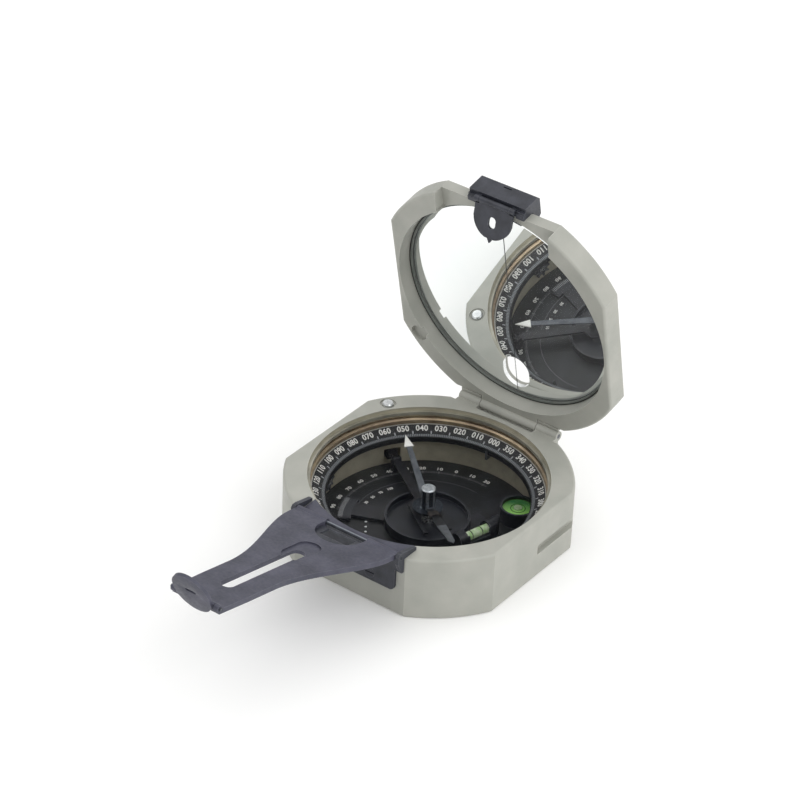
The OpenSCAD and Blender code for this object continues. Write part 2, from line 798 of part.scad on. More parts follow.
module lifter_outline() {
    split = 7.5;
    outer = lift_r + 1.3;
    polygon([
        [outer, -lever_half],
        [post_dist + 2.4, -lever_half],
        [post_dist + 1.8, -waist_half],
        [post_dist - 1.8, -waist_half],
        [post_dist - 2.4, -lever_half],
        [split, -lever_half],
        [split - 2.2, -fork_half - prong_w / 2],
        [-fork_reach, -fork_half - prong_w / 2],
        [-fork_reach, -fork_half + prong_w / 2],
        [split - 2.8, -fork_half + prong_w / 2],
        [split - 1.6, 0],
        [split - 2.8, fork_half - prong_w / 2],
        [-fork_reach, fork_half - prong_w / 2],
        [-fork_reach, fork_half + prong_w / 2],
        [split - 2.2, fork_half + prong_w / 2],
        [split, lever_half],
        [post_dist - 2.4, lever_half],
        [post_dist - 1.8, waist_half],
        [post_dist + 1.8, waist_half],
        [post_dist + 2.4, lever_half],
        [outer, lever_half]]);
}

module lifter() {
    color([0.45, 0.45, 0.46]) at_lifter() difference() {
        union() {
            translate([0, 0, lift_z]) linear_extrude(lifter_t) lifter_outline();
            translate([post_dist, waist_half, lifter_z]) rotate([90, 0, 0])
                cylinder(r = fulcrum_pin_r + 0.3, h = 2 * waist_half);
        }
        translate([post_dist, 2, lifter_z]) rotate([90, 0, 0])
            cylinder(r = fulcrum_pin_r + run_gap, h = 4);
    }
}

// Clinometer

module clino_shaft() {
    color([0.72, 0.72, 0.70]) {
        translate([0, 0, lever_z + lever_t]) cylinder(r = clino_shaft_r, h = clino_z - lever_z - lever_t);
        translate([0, 0, lever_z]) cylinder(r = clino_neck_r, h = cup_z - lever_z);
    }
}

module clino_lever() {
    color([0.62, 0.62, 0.60]) rotate([0, 0, vernier_az]) translate([0, 0, lever_z]) difference() {
        linear_extrude(lever_t) {
            circle(lever_hub_r);
            translate([lever_len, 0]) circle(lever_tip_r);
            polygon([
                [0, -lever_hub_r + 0.4],
                [lever_len, -lever_tip_r + 0.1],
                [lever_len, lever_tip_r - 0.1],
                [0, lever_hub_r - 0.4]]);
        }
        translate([0, 0, -eps]) cylinder(r = clino_neck_r + fit_gap, h = 2);
        for (i = [-1 : 1]) translate([lever_len + i * 1.1 - 0.2, -1.4, -eps]) cube([0.4, 2.8, 0.25]);
    }
}

module at_level() {
    rotate([0, 0, level_az - 90]) translate([level_dist, 0, 0]) children();
}

// Plate under the cup with the vernier's arm and the pad of the long level
module clino_plan() {
    circle(cup_r);
    rotate([0, 0, vernier_az]) {
        translate([0, -3]) square([vernier_r - 3, 6]);
        intersection() {
            difference() {
                circle(vernier_r);
                circle(vernier_r - 3.7);
            }
            polygon([
                [0, 0],
                [2 * vernier_r * cos(vernier_half), -2 * vernier_r * sin(vernier_half)],
                [2 * vernier_r * cos(vernier_half), 2 * vernier_r * sin(vernier_half)]]);
        }
    }
    intersection() {
        circle(sweep_r);
        rotate([0, 0, level_az - 90]) translate([5, -1.5])
            square([level_dist + holder_r - 5, holder_end + 1.5]);
    }
}

module clino_arm() {
    color([0.10, 0.10, 0.11]) difference() {
        translate([0, 0, clino_z]) linear_extrude(clino_t) clino_plan();
        cylinder(r = clino_neck_r + fit_gap, h = case_h);
    }
}

module damping_cup() {
    color([0.13, 0.12, 0.14]) difference() {
        translate([0, 0, cup_z]) cylinder(r = cup_r, h = cup_h);
        translate([0, 0, cup_z + cup_floor_t]) cylinder(r = cup_r - cup_wall, h = cup_h);
        cylinder(r = post_r + fit_gap, h = case_h);
    }
}

module pivot_post() {
    shoulder_z = lift_z + 0.1;
    pin_r = 0.45;
    color([0.80, 0.80, 0.78]) {
        translate([0, 0, cup_z]) cylinder(r = post_r, h = shoulder_z - cup_z);
        translate([0, 0, shoulder_z]) cylinder(r1 = 0.9, r2 = pin_r, h = 1.6);
        translate([0, 0, shoulder_z]) cylinder(r = pin_r, h = jewel_z - shoulder_z);
        translate([0, 0, jewel_z]) cylinder(r1 = pin_r, r2 = 0.06, h = point_z - jewel_z);
    }
}

module level_holder() {
    color([0.10, 0.10, 0.11]) intersection() {
        at_level() difference() {
            translate([0, -1.5, 0]) rotate([-90, 0, 0]) linear_extrude(holder_end + 1.5) {
                translate([0, -vial_z]) circle(holder_r);
                translate([-holder_r, -vial_z]) square([2 * holder_r, vial_z - cup_z]);
            }
            translate([0, vial_start - 0.1, vial_z]) rotate([-90, 0, 0])
                cylinder(r = vial_r + fit_gap, h = vial_len + 0.2);
            translate([-vial_r, 1.3, vial_z]) cube([2 * vial_r, 7.8, 5]);
        }
        cylinder(r = sweep_r, h = case_h);
    }
}

module level_vial() {
    color([0.80, 1, 0.80, 0.4]) at_level() translate([0, vial_start, vial_z]) rotate([-90, 0, 0])
        difference() {
            cylinder(r = vial_r, h = vial_len);
            translate([0, 0, 0.6]) cylinder(r = vial_r - 0.35, h = vial_len - 1.2);
        }
}

module level_bubble_shape(grow) {
    translate([0, 5.2, vial_z + 0.55]) rotate([-90, 0, 0]) translate([0, 0, -1.6 - grow])
        cylinder(r = 0.65 + grow, h = 3.2 + 2 * grow);
}

module level_fluid() {
    color([0.45, 0.90, 0.35]) at_level() difference() {
        translate([0, vial_start + 0.65, vial_z]) rotate([-90, 0, 0])
            cylinder(r = vial_r - 0.38, h = vial_len - 1.3);
        level_bubble_shape(0.04);
    }
}

module level_bubble() {
    color([0.90, 1, 0.80]) at_level() level_bubble_shape(0);
}

// Lid, with the mirror and the small sight's bracket

module lid_shell() {
    color([0.60, 0.61, 0.57]) on_lid() difference() {
        union() {
            case_block(lid_z, lid_top);
            x_rod(-lid_knuckle_half, lid_knuckle_half, lid_axis_y, lid_axis_z, lid_knuckle_r);
            translate([-lid_knuckle_half, case_half - 1, lid_z])
                cube([2 * lid_knuckle_half, lid_axis_y - case_half + 1, lid_knuckle_r]);
        }
        translate([0, 0, lid_z - eps])
            cylinder(r1 = lid_mouth_r, r2 = mirror_seat_r, h = mirror_depth + 2 * eps);
        translate([0, 0, mirror_z]) cylinder(r = mirror_seat_r, h = mirror_t);
        translate([0, window_y, lid_z]) linear_extrude(lid_h + 1) obround(window_w, window_len);
        translate([-notch_half, -case_half - 5, lid_z - 5])
            cube([2 * notch_half, case_half + 5 + notch_y, notch_h + 5]);
        at_lifter() translate([lift_r, 0, lid_z - 1]) cylinder(r = button_r + 0.95, h = 1 + button_proud + 0.5);
        x_rod(-case_half, case_half, lid_axis_y, lid_axis_z, lid_pin_r + run_gap);
    }
}

module mirror() {
    bevel = 1.6;
    color([0.80, 0.84, 0.86]) on_lid() difference() {
        rotate_extrude() polygon([
            [0, mirror_z],
            [mirror_r - 0.5 - bevel, mirror_z],
            [mirror_r - 0.5, mirror_z + 0.4],
            [mirror_r, mirror_z + 0.4],
            [mirror_r, mirror_z + mirror_t],
            [0, mirror_z + mirror_t]]);
        translate([0, window_y, mirror_z - 1]) linear_extrude(4) obround(window_w, window_len);
    }
}

module mirror_gasket() {
    color([0.05, 0.05, 0.05]) on_lid()
        tube(mirror_seat_r - 0.1, mirror_r - 0.75, mirror_z - 0.5, mirror_z + 0.05);
}

module window_glass() {
    color([0.85, 0.9, 0.9, 0.3]) on_lid() translate([0, window_y, mirror_z])
        linear_extrude(mirror_t) obround(window_w - 2 * fit_gap, window_len - 2 * fit_gap);
}

module sighting_line() {
    line_w = 0.35;
    line_half = mirror_r - 2;
    color([0.05, 0.05, 0.05]) on_lid() translate([-line_w / 2, -line_half, mirror_z - 0.08])
        cube([line_w, 2 * line_half, 0.08]);
}

// Block that wraps the lid's front edge and carries the small sight
module sight_bracket() {
    over = lid_top + 0.05;
    face = -case_half - 0.05;
    color([0.12, 0.12, 0.14]) on_lid() difference() {
        union() {
            translate([-block_half, 0, 0]) rotate([90, 0, 90]) linear_extrude(2 * block_half) polygon([
                [-case_half - 3.4, lid_z + 3.8],
                [-case_half - 3.4, over + 2.6],
                [-case_half - 2.6, over + 3.4],
                [-case_half + 2.6, over + 3.4],
                [-case_half + 3.4, over + 2.6],
                [-case_half + 3.4, over],
                [face, over],
                [face, lid_z + 3.8]]);
            for (x = [-block_half, block_half - 2.6]) translate([x, -case_half - 2.2, lid_z + 2.6])
                cube([2.6, 2.15, 2]);
            for (x = [-small_knuckle_half - 0.1 - small_ear, small_knuckle_half + 0.1]) {
                x_rod(x, x + small_ear, small_axis_y, small_axis_z, small_knuckle_r + 0.05);
                translate([x, small_axis_y - 0.6, small_axis_z]) cube([small_ear, 1.2, 1.6]);
            }
        }
        x_rod(-block_half, block_half, small_axis_y, small_axis_z, small_pin_r + fit_gap);
        translate([0, -case_half - 3.4, over + 1.6]) cube([2.8, 0.8, 0.5], center = true);
    }
}

module sight_pin() {
    half = small_knuckle_half + 0.1 + small_ear;
    color([0.70, 0.70, 0.68]) on_lid() x_rod(-half, half, small_axis_y, small_axis_z, small_pin_r);
}

// Small sight's leaf, with its hinge on the X axis and its length along +Y
module small_leaf_outline() {
    half = small_w / 2;
    clear = small_knuckle_r + 0.25;
    difference() {
        union() {
            translate([-half, clear]) square([small_w, small_len - half - clear + 1.2]);
            translate([-small_knuckle_half, 0]) square([2 * small_knuckle_half, clear + 1]);
            intersection() {
                translate([0, small_len - half + 0.2]) circle(half);
                translate([-half, clear]) square([small_w, small_len - clear]);
            }
            translate([0, small_len - 0.3]) polygon([[-1, 0], [0, 1.6], [1, 0]]);
        }
        translate([0, small_len - 4.6]) obround(2.4, 3.4);
    }
}

module small_sight() {
    color([0.13, 0.13, 0.15]) on_lid() translate([0, small_axis_y, small_axis_z])
        rotate([-small_swing, 0, 0]) difference() {
            union() {
                translate([0, 0, -small_t / 2]) linear_extrude(small_t) small_leaf_outline();
                x_rod(-small_knuckle_half, small_knuckle_half, 0, 0, small_knuckle_r);
            }
            x_rod(-small_knuckle_half - 1, small_knuckle_half + 1, 0, 0, small_pin_r + run_gap);
        }
}

// Sight arm and its tip leaf, along -Y from the arm's hinge

// Half width of the arm at a distance from its hinge
arm_curve_end = 42;
arm_flare_start = 52;
arm_plate_end = arm_len - tip_knuckle_r - 0.2;
function ease(t) = 3 * t * t - 2 * t * t * t;
function arm_half(s) =
    s < 4 ? arm_root_half
    : s < arm_curve_end
        ? arm_root_half - (arm_root_half - arm_neck_half) * ease(pow((s - 4) / (arm_curve_end - 4), 0.9))
    : s < arm_flare_start ? arm_neck_half
    : arm_neck_half + (arm_end_half - arm_neck_half) * (s - arm_flare_start) / (arm_plate_end - arm_flare_start);

module arm_outline() {
    stations = [0, for (s = [4 : 2 : arm_curve_end]) s, arm_flare_start, arm_plate_end];
    edge = [for (s = stations) [arm_half(s), -s]];
    back = [for (i = [len(edge) - 1 : -1 : 0]) [-edge[i][0], edge[i][1]]];
    polygon(concat(edge, back));
}

module arm_window() {
    translate([0, -arm_window_y]) circle(arm_window_half);
    translate([-arm_window_half, -arm_window_y]) square([2 * arm_window_half, arm_window_y + 3]);
}

module sight_arm() {
    slot_start = 20;
    slot_end = 54;
    tip_x = tip_knuckle_half + tip_knuckle_gap;
    tip_end = tip_w / 2 + 0.3;
    color([0.33, 0.32, 0.38]) on_arm() difference() {
        union() {
            translate([0, 0, -arm_t / 2]) linear_extrude(arm_t) arm_outline();
            x_rod(-arm_root_half, arm_root_half, 0, 0, arm_knuckle_r);
            for (x = [-tip_end, tip_x]) {
                x_rod(x, x + tip_end - tip_x, -arm_len, arm_t / 2, tip_knuckle_r);
                translate([x, -arm_len, -arm_t / 2]) cube([tip_end - tip_x, 2, arm_t]);
            }
        }
        translate([0, 0, -5]) linear_extrude(10) arm_window();
        translate([0, -(slot_start + slot_end) / 2, -5]) linear_extrude(10)
            obround(sight_slot_w, slot_end - slot_start);
        translate([0, -slot_start - sight_slot_w / 2, 0]) rotate([0, 0, 180])
            translate([-sight_slot_w / 2 - 0.6, -4.5, arm_t / 2 - 0.5]) cube([sight_slot_w + 1.2, 4.5, 2]);
        x_rod(-case_half, case_half, 0, 0, arm_pin_r + run_gap);
        x_rod(-case_half, case_half, -arm_len, arm_t / 2, tip_pin_r + fit_gap);
    }
}

module on_tip() {
    on_arm() translate([0, -arm_len, arm_t / 2]) children();
}

module tip_pin() {
    half = tip_w / 2 + 0.3;
    color([0.70, 0.70, 0.68]) on_tip() x_rod(-half, half, 0, 0, tip_pin_r);
}

module tip_leaf_outline() {
    half = tip_w / 2;
    root = tip_knuckle_r + 0.2;
    difference() {
        union() {
            translate([-half, -tip_len + half]) square([tip_w, tip_len - half - root]);
            translate([0, -tip_len + half]) circle(half);
            translate([-tip_knuckle_half, -root - 1]) square([2 * tip_knuckle_half, root + 1]);
        }
        translate([0, -tip_len + half + 0.5]) obround(1, 3.6);
    }
}

module tip_leaf() {
    color([0.30, 0.29, 0.35]) on_tip() rotate([-tip_raise, 0, 0]) difference() {
        union() {
            translate([0, 0, -tip_t - 0.1]) linear_extrude(tip_t) tip_leaf_outline();
            x_rod(-tip_knuckle_half, tip_knuckle_half, 0, 0, tip_knuckle_r);
        }
        x_rod(-tip_knuckle_half - 1, tip_knuckle_half + 1, 0, 0, tip_pin_r + run_gap);
    }
}

case_body();
dial_plate();
clino_bush();
seat_ring();
glass();
retaining_ring();
index_pin();
bullseye_cup();
bullseye_window();
bullseye_fluid();
bullseye_bubble();
adjuster_bush();
arm_bracket();
bracket_screws();
arm_hinge_pin();
lid_hinge_pin();
fulcrum_post();
fulcrum_pin();
lift_spring();
azimuth_ring();
adjuster_pinion();
adjuster_shaft();
needle_hub();
needle_jewel();
needle_north();
needle_arrow();
needle_south();
needle_coil();
lift_pin();
lifter();
clino_shaft();
clino_lever();
clino_arm();
damping_cup();
pivot_post();
level_holder();
level_vial();
level_fluid();
level_bubble();
lid_shell();
mirror();
mirror_gasket();
window_glass();
sighting_line();
sight_bracket();
sight_pin();
small_sight();
sight_arm();
tip_pin();
tip_leaf();
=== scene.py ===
"""Dresses the pocket transit: finishes, scales, numerals, trim, light and camera.

Blender works in metres, in the frame of the part. Plain sizes named below are millimetres,
azimuths are degrees from X, and what has been multiplied by MM is metres.
"""
import math

import bpy
from mathutils import Matrix, Vector


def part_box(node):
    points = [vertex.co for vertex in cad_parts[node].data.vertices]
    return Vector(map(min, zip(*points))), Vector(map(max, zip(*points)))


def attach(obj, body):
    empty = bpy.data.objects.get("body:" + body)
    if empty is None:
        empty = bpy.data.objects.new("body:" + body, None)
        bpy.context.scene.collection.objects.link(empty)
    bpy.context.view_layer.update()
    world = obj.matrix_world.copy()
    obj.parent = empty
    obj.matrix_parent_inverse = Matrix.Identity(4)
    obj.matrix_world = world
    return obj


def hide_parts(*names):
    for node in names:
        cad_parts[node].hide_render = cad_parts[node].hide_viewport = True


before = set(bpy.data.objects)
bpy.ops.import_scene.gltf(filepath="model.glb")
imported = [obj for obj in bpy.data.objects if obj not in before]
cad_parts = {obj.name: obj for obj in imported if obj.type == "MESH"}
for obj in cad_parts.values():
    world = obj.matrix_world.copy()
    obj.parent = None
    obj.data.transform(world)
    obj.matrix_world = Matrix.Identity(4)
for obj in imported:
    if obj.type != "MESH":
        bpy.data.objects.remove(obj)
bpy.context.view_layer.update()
MM = 0.001


def srgb(red, green, blue):
    """Linear colour of a colour as seen on screen, 0 to 255."""
    def linear(v):
        v /= 255
        return v / 12.92 if v <= 0.04045 else ((v + 0.055) / 1.055) ** 2.4
    return (linear(red), linear(green), linear(blue), 1)


# Case, with the bare metal of its bore
CASE_HALF = 36
CASE_H = 19.3
BORE_R = 33.94
BORE_Z = (1.5, 19.2)
BORE_TONES = (srgb(158, 153, 136), srgb(196, 191, 172))
BORE_PATCH = 2.4
BORE_METALLIC = 0.35
BORE_ROUGHNESS = 0.3
PAINT_ROUGHNESS = 0.47

# Azimuth ring: sloped face for the numerals, and inside it a strip with a line for each degree
RING_FACE_INNER_R = 29.85
RING_FACE_OUTER_R = 32.6
RING_FACE_RISE = 1.5
RING_FACE_Z = 12.8
RING_PAINT_Z = 12.35
RING_STRIP_R = (28.95, 29.75)
RING_STRIP_TONE = srgb(136, 140, 144)
RING_LINE_DEGREES = 0.4
RING_LINE_TONE = srgb(34, 36, 40)
RING_TICK_R = (29.85, 30.65)
RING_TICK_DEGREES = 0.7
RING_TICK_TONE = srgb(160, 162, 166)
# Outer edge of the ring's face, with a painted highlight along it
RING_EDGE_R = 32.54
RING_EDGE_HIGHLIGHT_TONE = srgb(205, 204, 198)
RING_METALLIC = 0.5
RING_ZERO_AZ = 90
RING_NUMERAL_STEP = 10
RING_NUMERAL_R = 31.345
RING_NUMERAL_LIFT = 0.03

# Dial plate: the clinometer's scale, its two rows of numerals and the index dots
PLATE_TOP_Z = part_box("dial_plate")[1].z / MM
DIAL_SCALE_START = 88
DIAL_SCALE_STEP = 10.3
DIAL_SCALE_NUMBERS = 12
DIAL_SCALE_ZERO = 2
DIAL_SCALE_PAST = 3
DIAL_LINE_R = (25.38, 25.5)
DIAL_ONES_R = (25.5, 26.1)
DIAL_ONES_DEGREES = 0.3
DIAL_TENS_R = (24.9, 26.1)
DIAL_TENS_DEGREES = 0.45
DIAL_INNER_LINE_R = (21.3, 21.42)
DIAL_MARK_TONE = srgb(112, 114, 116)
DIAL_NUMERAL_R = 27.4
DIAL_NUMERAL_LIFT = 0.02
GRADE_NUMBERS = (100, 70, 50, 30)
GRADE_NUMERAL_R = 19.6
GRADE_START = 159
GRADE_STEP = 9.5
INDEX_DOTS = ((-13.9, -10), (-12.5, -11.9), (-11.1, -13.8))
INDEX_DOT_R = 0.36
INDEX_DOT_TONE = srgb(206, 208, 210)

# Numerals: height and width of each kind, the width as a share of the font's
RING_NUMERAL = (1.75, 0.92)
DIAL_NUMERAL = (1.2, 1.1)
GRADE_NUMERAL = (0.95, 0.9)
NUMERAL_CAP_SHARE = 0.7
NUMERAL_SPACING = 1.05
NUMERAL_HALF_T = 0.02
NUMERAL_BOLD_SHARE = 0.03
NUMERAL_RESOLUTION = 3

# Vernier on the clinometer's arm
VERNIER_AZ = 203
VERNIER_HALF = 11
VERNIER_STEP = 1.15
VERNIER_LINE_DEGREES = 0.4
VERNIER_LINE_R = (23.8, 25.1)
VERNIER_LINE_TONE = srgb(170, 172, 174)
VERNIER_GROUND_R = 21.5
VERNIER_GROUND_TONE = srgb(66, 68, 74)
VERNIER_GROUND_AMOUNT = 0.5

# Needle and hub, with painted shade and painted highlight stripes on the hub's barrel
NEEDLE_DARK_R = (3, 14.5)
NEEDLE_DARK_TONE = srgb(24, 25, 30)
NEEDLE_DARK_AMOUNT = 0.85
HUB_CAP_Z = 14.5
HUB_BARREL_R = 2.25
# Barrel's painted shade tone, and the step, width and tone of its painted highlight stripes
HUB_BARREL_PAINTED_SHADE_TONE = srgb(62, 67, 76)
HUB_HIGHLIGHT_STEP = 60
HUB_HIGHLIGHT_DEGREES = 26
HUB_PAINTED_HIGHLIGHT_TONE = srgb(154, 161, 168)

# Round level: the place of its axis, and the side toward which painted light makes its liquid pale
BULLSEYE_AZ = math.radians(46)
BULLSEYE_DIST = 25.8
BULLSEYE_PLACE = Vector((math.cos(BULLSEYE_AZ), math.sin(BULLSEYE_AZ), 0)) * BULLSEYE_DIST * MM
BULLSEYE_LIT_SIDE = Vector((0.45, -0.89, 0))
BULLSEYE_PAINTED_SHADE_SPAN = (-2.6, 3)
BULLSEYE_SHADED_AND_LIT_TONES = (srgb(4, 84, 70), srgb(186, 250, 130))
TARGET_CIRCLE_R = (1.9, 2.2)
TARGET_CIRCLE_TONE = srgb(6, 52, 34)

# Long level
LEVEL_TURN = math.radians(-15)
LEVEL_DIST = 14.8
VIAL_Z = 5.9
VIAL_LINES = ((3.3, 3.65), (6.75, 7.1))
VIAL_LINE_TONE = srgb(18, 44, 26)
LEVEL_WINDOW = ((LEVEL_DIST - 3, 1.8, VIAL_Z - 0.7), (LEVEL_DIST + 3, 8.8, VIAL_Z + 4))
# Painted glow of both levels' liquids, as if lit from within
LIQUID_GLOW = 0.08
BUBBLE_ALPHA = 0.6

# Lid, open as it is at rest, with its mirror and window
LID_AXIS = Vector((0, 38.6, 19.35)) * MM
LID_OPEN = math.radians(77.7)
LID_SHIFT = Matrix.Translation(LID_AXIS)
LID_PLACE = LID_SHIFT @ Matrix.Rotation(-LID_OPEN, 4, "X") @ LID_SHIFT.inverted()
LID_HINGE_HALF = 16.97
LID_KNUCKLE_HALF = 9.6
MIRROR_CENTRE = LID_PLACE @ (Vector((0, 0, 24.2)) * MM)
MIRROR_NORMAL = LID_PLACE.to_3x3() @ Vector((0, 0, 1))
# Mirror: strength of a painted white glow over it
MIRROR_GLOW = 0.025
GASKET_LINE_R = (34.0, 34.32)
GASKET_LINE_TONE = srgb(14, 17, 18)
SIGHT_LINE_HALF = 0.09
GLASS_IOR = 1.5
GLASS_SPECULAR = 0.25
GLASS_BLOOM = 15
GLASS_ALPHA = (0.03, 0.07)

# Sight arm, raised, with its tip leaf; both are modelled flat, with the hinge as their origin
ARM_AXIS_Y = -37.3
ARM_AXIS_Z = 20.4
# Arm pin: a painted highlight line along its top, above this rise over the axis, in this tone
ARM_PIN_HIGHLIGHT_RISE = 0.56
ARM_PIN_HIGHLIGHT_TONE = srgb(128, 134, 142)
ARM_LEN = 64.8
ARM_T = 1.5
ARM_END_SIDE = (8, 12)
ARM_END_Y = (-68, -52)
ARM_END_Z = (-3, 4)
ARM_END_MIDDLE_Y = -60
ARM_END_TAPER = 0.3
ARM_END_CLEAR = 0.02
ARM_SLOT_R = 2.0
ARM_SLOT_Y = -52
ARM_SLOT_Z = (-3, 3)
ARM_SLOT_LEN = 30
ARM_DISH_R = 3.5
ARM_DISH_Y = -24
ARM_DISH_Z = (0.25, 3)
ARM_DISH_LEN = 6.5
ARM_RAISE = math.radians(12.5)
TIP_RAISE = math.radians(57.5)
ARM_SHIFT = Matrix.Translation(Vector((0, ARM_AXIS_Y, ARM_AXIS_Z)) * MM)
ARM_PLACE = ARM_SHIFT @ Matrix.Rotation(-ARM_RAISE, 4, "X")
TIP_BASE = ARM_PLACE @ Matrix.Translation(Vector((0, -ARM_LEN, ARM_T / 2)) * MM)
TIP_PLACE = TIP_BASE @ Matrix.Rotation(-TIP_RAISE, 4, "X")
LEAF_R = 6
LEAF_MIDDLE = 3.7
LEAF_STRAIGHT = 1.4
LEAF_Z = (-1.15, -0.12)
LEAF_KNUCKLE_HALF = 6
LEAF_KNUCKLE_R = 1.1
LEAF_RECESS = ((-LEAF_KNUCKLE_HALF - 0.2, -1.4, -1.4), (LEAF_KNUCKLE_HALF + 0.2, 2.1, 1.4))
LEAF_BORE_R = 0.58
LEAF_BORE_HALF = 9
LEAF_SLIT_R = 0.5
LEAF_SLIT_Y = -4.1
LEAF_SLIT_Z = (-4, 2)
LEAF_SLIT_HALF = 1.3
WINDOW_R = 6.95
WINDOW_Y = -3.3
WINDOW_Z = (-0.7, -0.25)
WINDOW_CUTS = (((-8, -1.6, -2), (8, 8, 2)), ((-4.6, -6.2, -2), (4.6, -1.9, 2)))

# Trim of the case and the lid
LEDGE_Y = (CASE_HALF - 0.6, CASE_HALF + 2.6)
LEDGE_Z = (14.2, 17.6)
LEDGE_LIP_Z = 16.9
LEDGE_STEP_SIDE = (LID_KNUCKLE_HALF + 0.2, LID_HINGE_HALF)
LEDGE_STEP_Z = (17.1, 17.86)
LID_STRIP_SIDE = (LID_KNUCKLE_HALF + 0.3, LID_HINGE_HALF - 0.1)
LID_STRIP_Y = (CASE_HALF - 0.1, CASE_HALF + 0.95)
LID_STRIP_Z = (CASE_H + 0.2, CASE_H + 2.9)
RIM_STRIP = ((-16.9, -35.6, CASE_H), (16.9, -29.2, CASE_H + 0.26))
RIM_STRIP_BORE_R = 34.02
RIM_STRIP_BORE_Z = (CASE_H - 1, CASE_H + 1)

# How shapes are merged, in metres, and how their edges are rounded and smoothed, in degrees
MERGE_DISTANCE = 1e-6
SOFT_SEGMENTS = 2
SOFT_ANGLE = 40
SMOOTH_ANGLE = 30

# Camera, as fitted to the photograph, with its distance and target in metres
CAMERA_AZIMUTH = math.radians(35.66)
CAMERA_ELEVATION = math.radians(33.575)
CAMERA_ROLL = math.radians(2.365)
CAMERA_DISTANCE = 935.942 * MM
CAMERA_TARGET = Vector((-28.16, 23.848, 20)) * MM
CAMERA_LENS = 147.0
CAMERA_SENSOR = 36
CAMERA_CLIP = (0.05, 20)

# Floor, in metres
FLOOR_SIZE = 6
FLOOR_TONE = srgb(248, 248, 247)
FLOOR_ROUGHNESS = 0.8
FLOOR_GLOW = 0.06

# Sky: its level, how it rises toward one side and dims toward another, and its least strength
WHITE = (1, 1, 1, 1)
SKY_LEVEL = 0.74
SKY_LEAN = (0.3, 0.1, 0.45)
SKY_DARK_SIDE = (0.66, -0.72, 0.2)
SKY_DARKENING = 0.5
SKY_LEAST = 0.12

# Lamps: name, place, target and power; places in metres, power in watts
LAMP_SIZE = 0.9
LAMPS = (
    ("key", (0.85, -0.15, 0.8), (0, 0, 0.02), 3),
    ("fill", (-0.5, -0.4, 1.0), (0, 0, 0.03), 1.5),
)

# Finishes: two tones, patch size, range of roughness, metallic, grain size, grain strength
FINISHES = {
    "case_paint": ((161, 162, 154), (173, 173, 165), 9, (0.4, 0.54), 0, 0.45, 0.1),
    "lid_paint": ((161, 162, 154), (173, 173, 165), 9, (0.4, 0.54), 0, 0.45, 0.1),
    "arm_finish": ((64, 65, 77), (82, 82, 96), 6, (0.4, 0.58), 0.2, 0.3, 0.1),
    "black_enamel": ((38, 40, 48), (58, 60, 69), 4, (0.32, 0.5), 0, 0.3, 0.1),
    "needle_grey": ((84, 88, 94), (112, 116, 122), 2.5, (0.3, 0.45), 0.5, 0.25, 0.1),
    "cup_black": ((22, 24, 31), (38, 40, 48), 5, (0.28, 0.46), 0, 0.3, 0.1),
    "lifter_black": ((20, 21, 27), (40, 41, 48), 3, (0.3, 0.5), 0, 0.3, 0.1),
    "bright_steel": ((190, 193, 194), (222, 224, 224), 2, (0.18, 0.34), 0.95, 0.25, 0.06),
    "hub_silver": ((176, 182, 188), (214, 218, 222), 1, (0.2, 0.36), 0.8, 0.2, 0.06),
    "hinge_steel": ((58, 60, 68), (112, 114, 120), 1.6, (0.25, 0.45), 0.7, 0.25, 0.1),
    "arm_pin_steel": ((36, 39, 46), (66, 69, 76), 1.6, (0.25, 0.45), 0.5, 0.25, 0.1),
    "grey_steel": ((104, 108, 112), (136, 139, 142), 3, (0.28, 0.48), 0.8, 0.3, 0.1),
    "brass": ((168, 138, 80), (204, 174, 108), 3, (0.24, 0.42), 0.95, 0.3, 0.1),
    "tan_ring": ((136, 118, 100), (186, 168, 140), 7, (0.3, 0.44), 0.7, 0.4, 0.1),
    "cover_ring": ((140, 138, 126), (176, 173, 160), 7, (0.3, 0.44), 0.5, 0.4, 0.1),
    "clear_glass": ((8, 12, 12), (20, 26, 25), 12, (0.02, 0.06), 0, 6, 0.02),
    "silvered": ((246, 250, 250), (252, 254, 253), 20, (0.008, 0.02), 1, 8, 0.004),
    "gasket": ((96, 101, 97), (118, 122, 117), 6, (0.45, 0.6), 0, 0.4, 0.1),
    "white_enamel": ((228, 228, 222), (248, 248, 244), 1.5, (0.36, 0.5), 0, 0.2, 0.1),
    "numeral_white": ((220, 220, 215), (240, 240, 236), 0.6, (0.42, 0.58), 0, 0.15, 0.1),
    "sight_line": ((44, 48, 52), (88, 92, 95), 3, (0.35, 0.5), 0, 0.3, 0.1),
    "ruby": ((176, 30, 58), (214, 52, 84), 1, (0.06, 0.14), 0, 0.2, 0.03),
    "ring_scale": ((15, 16, 20), (28, 29, 33), 4, (0.34, 0.5), 0, 0.3, 0.1),
    "dial_scale": ((17, 19, 22), (34, 36, 42), 6, (0.36, 0.52), 0, 0.35, 0.1),
    "vernier_black": ((28, 29, 35), (42, 43, 50), 4, (0.34, 0.5), 0, 0.3, 0.1),
    "long_level_green": ((138, 200, 96), (240, 252, 224), 2.2, (0.08, 0.16), 0, 2, 0.02),
    "round_level_green": ((10, 104, 74), (150, 232, 108), 4, (0.08, 0.16), 0, 2, 0.02),
    "bubble_clear": ((214, 242, 186), (240, 255, 226), 1.2, (0.03, 0.08), 0, 1, 0.02),
    "wire": ((26, 26, 30), (72, 66, 62), 0.8, (0.28, 0.42), 0.6, 0.2, 0.1),
}

# How strongly the finishes' noise shows, as the part of its range that is spread out
PATCH_RANGE = (0.32, 0.68)
GLOSS_RANGE = (0.3, 0.7)
GLOSS_SHARE = 1 / 7
GRAIN_DEPTH = 0.03

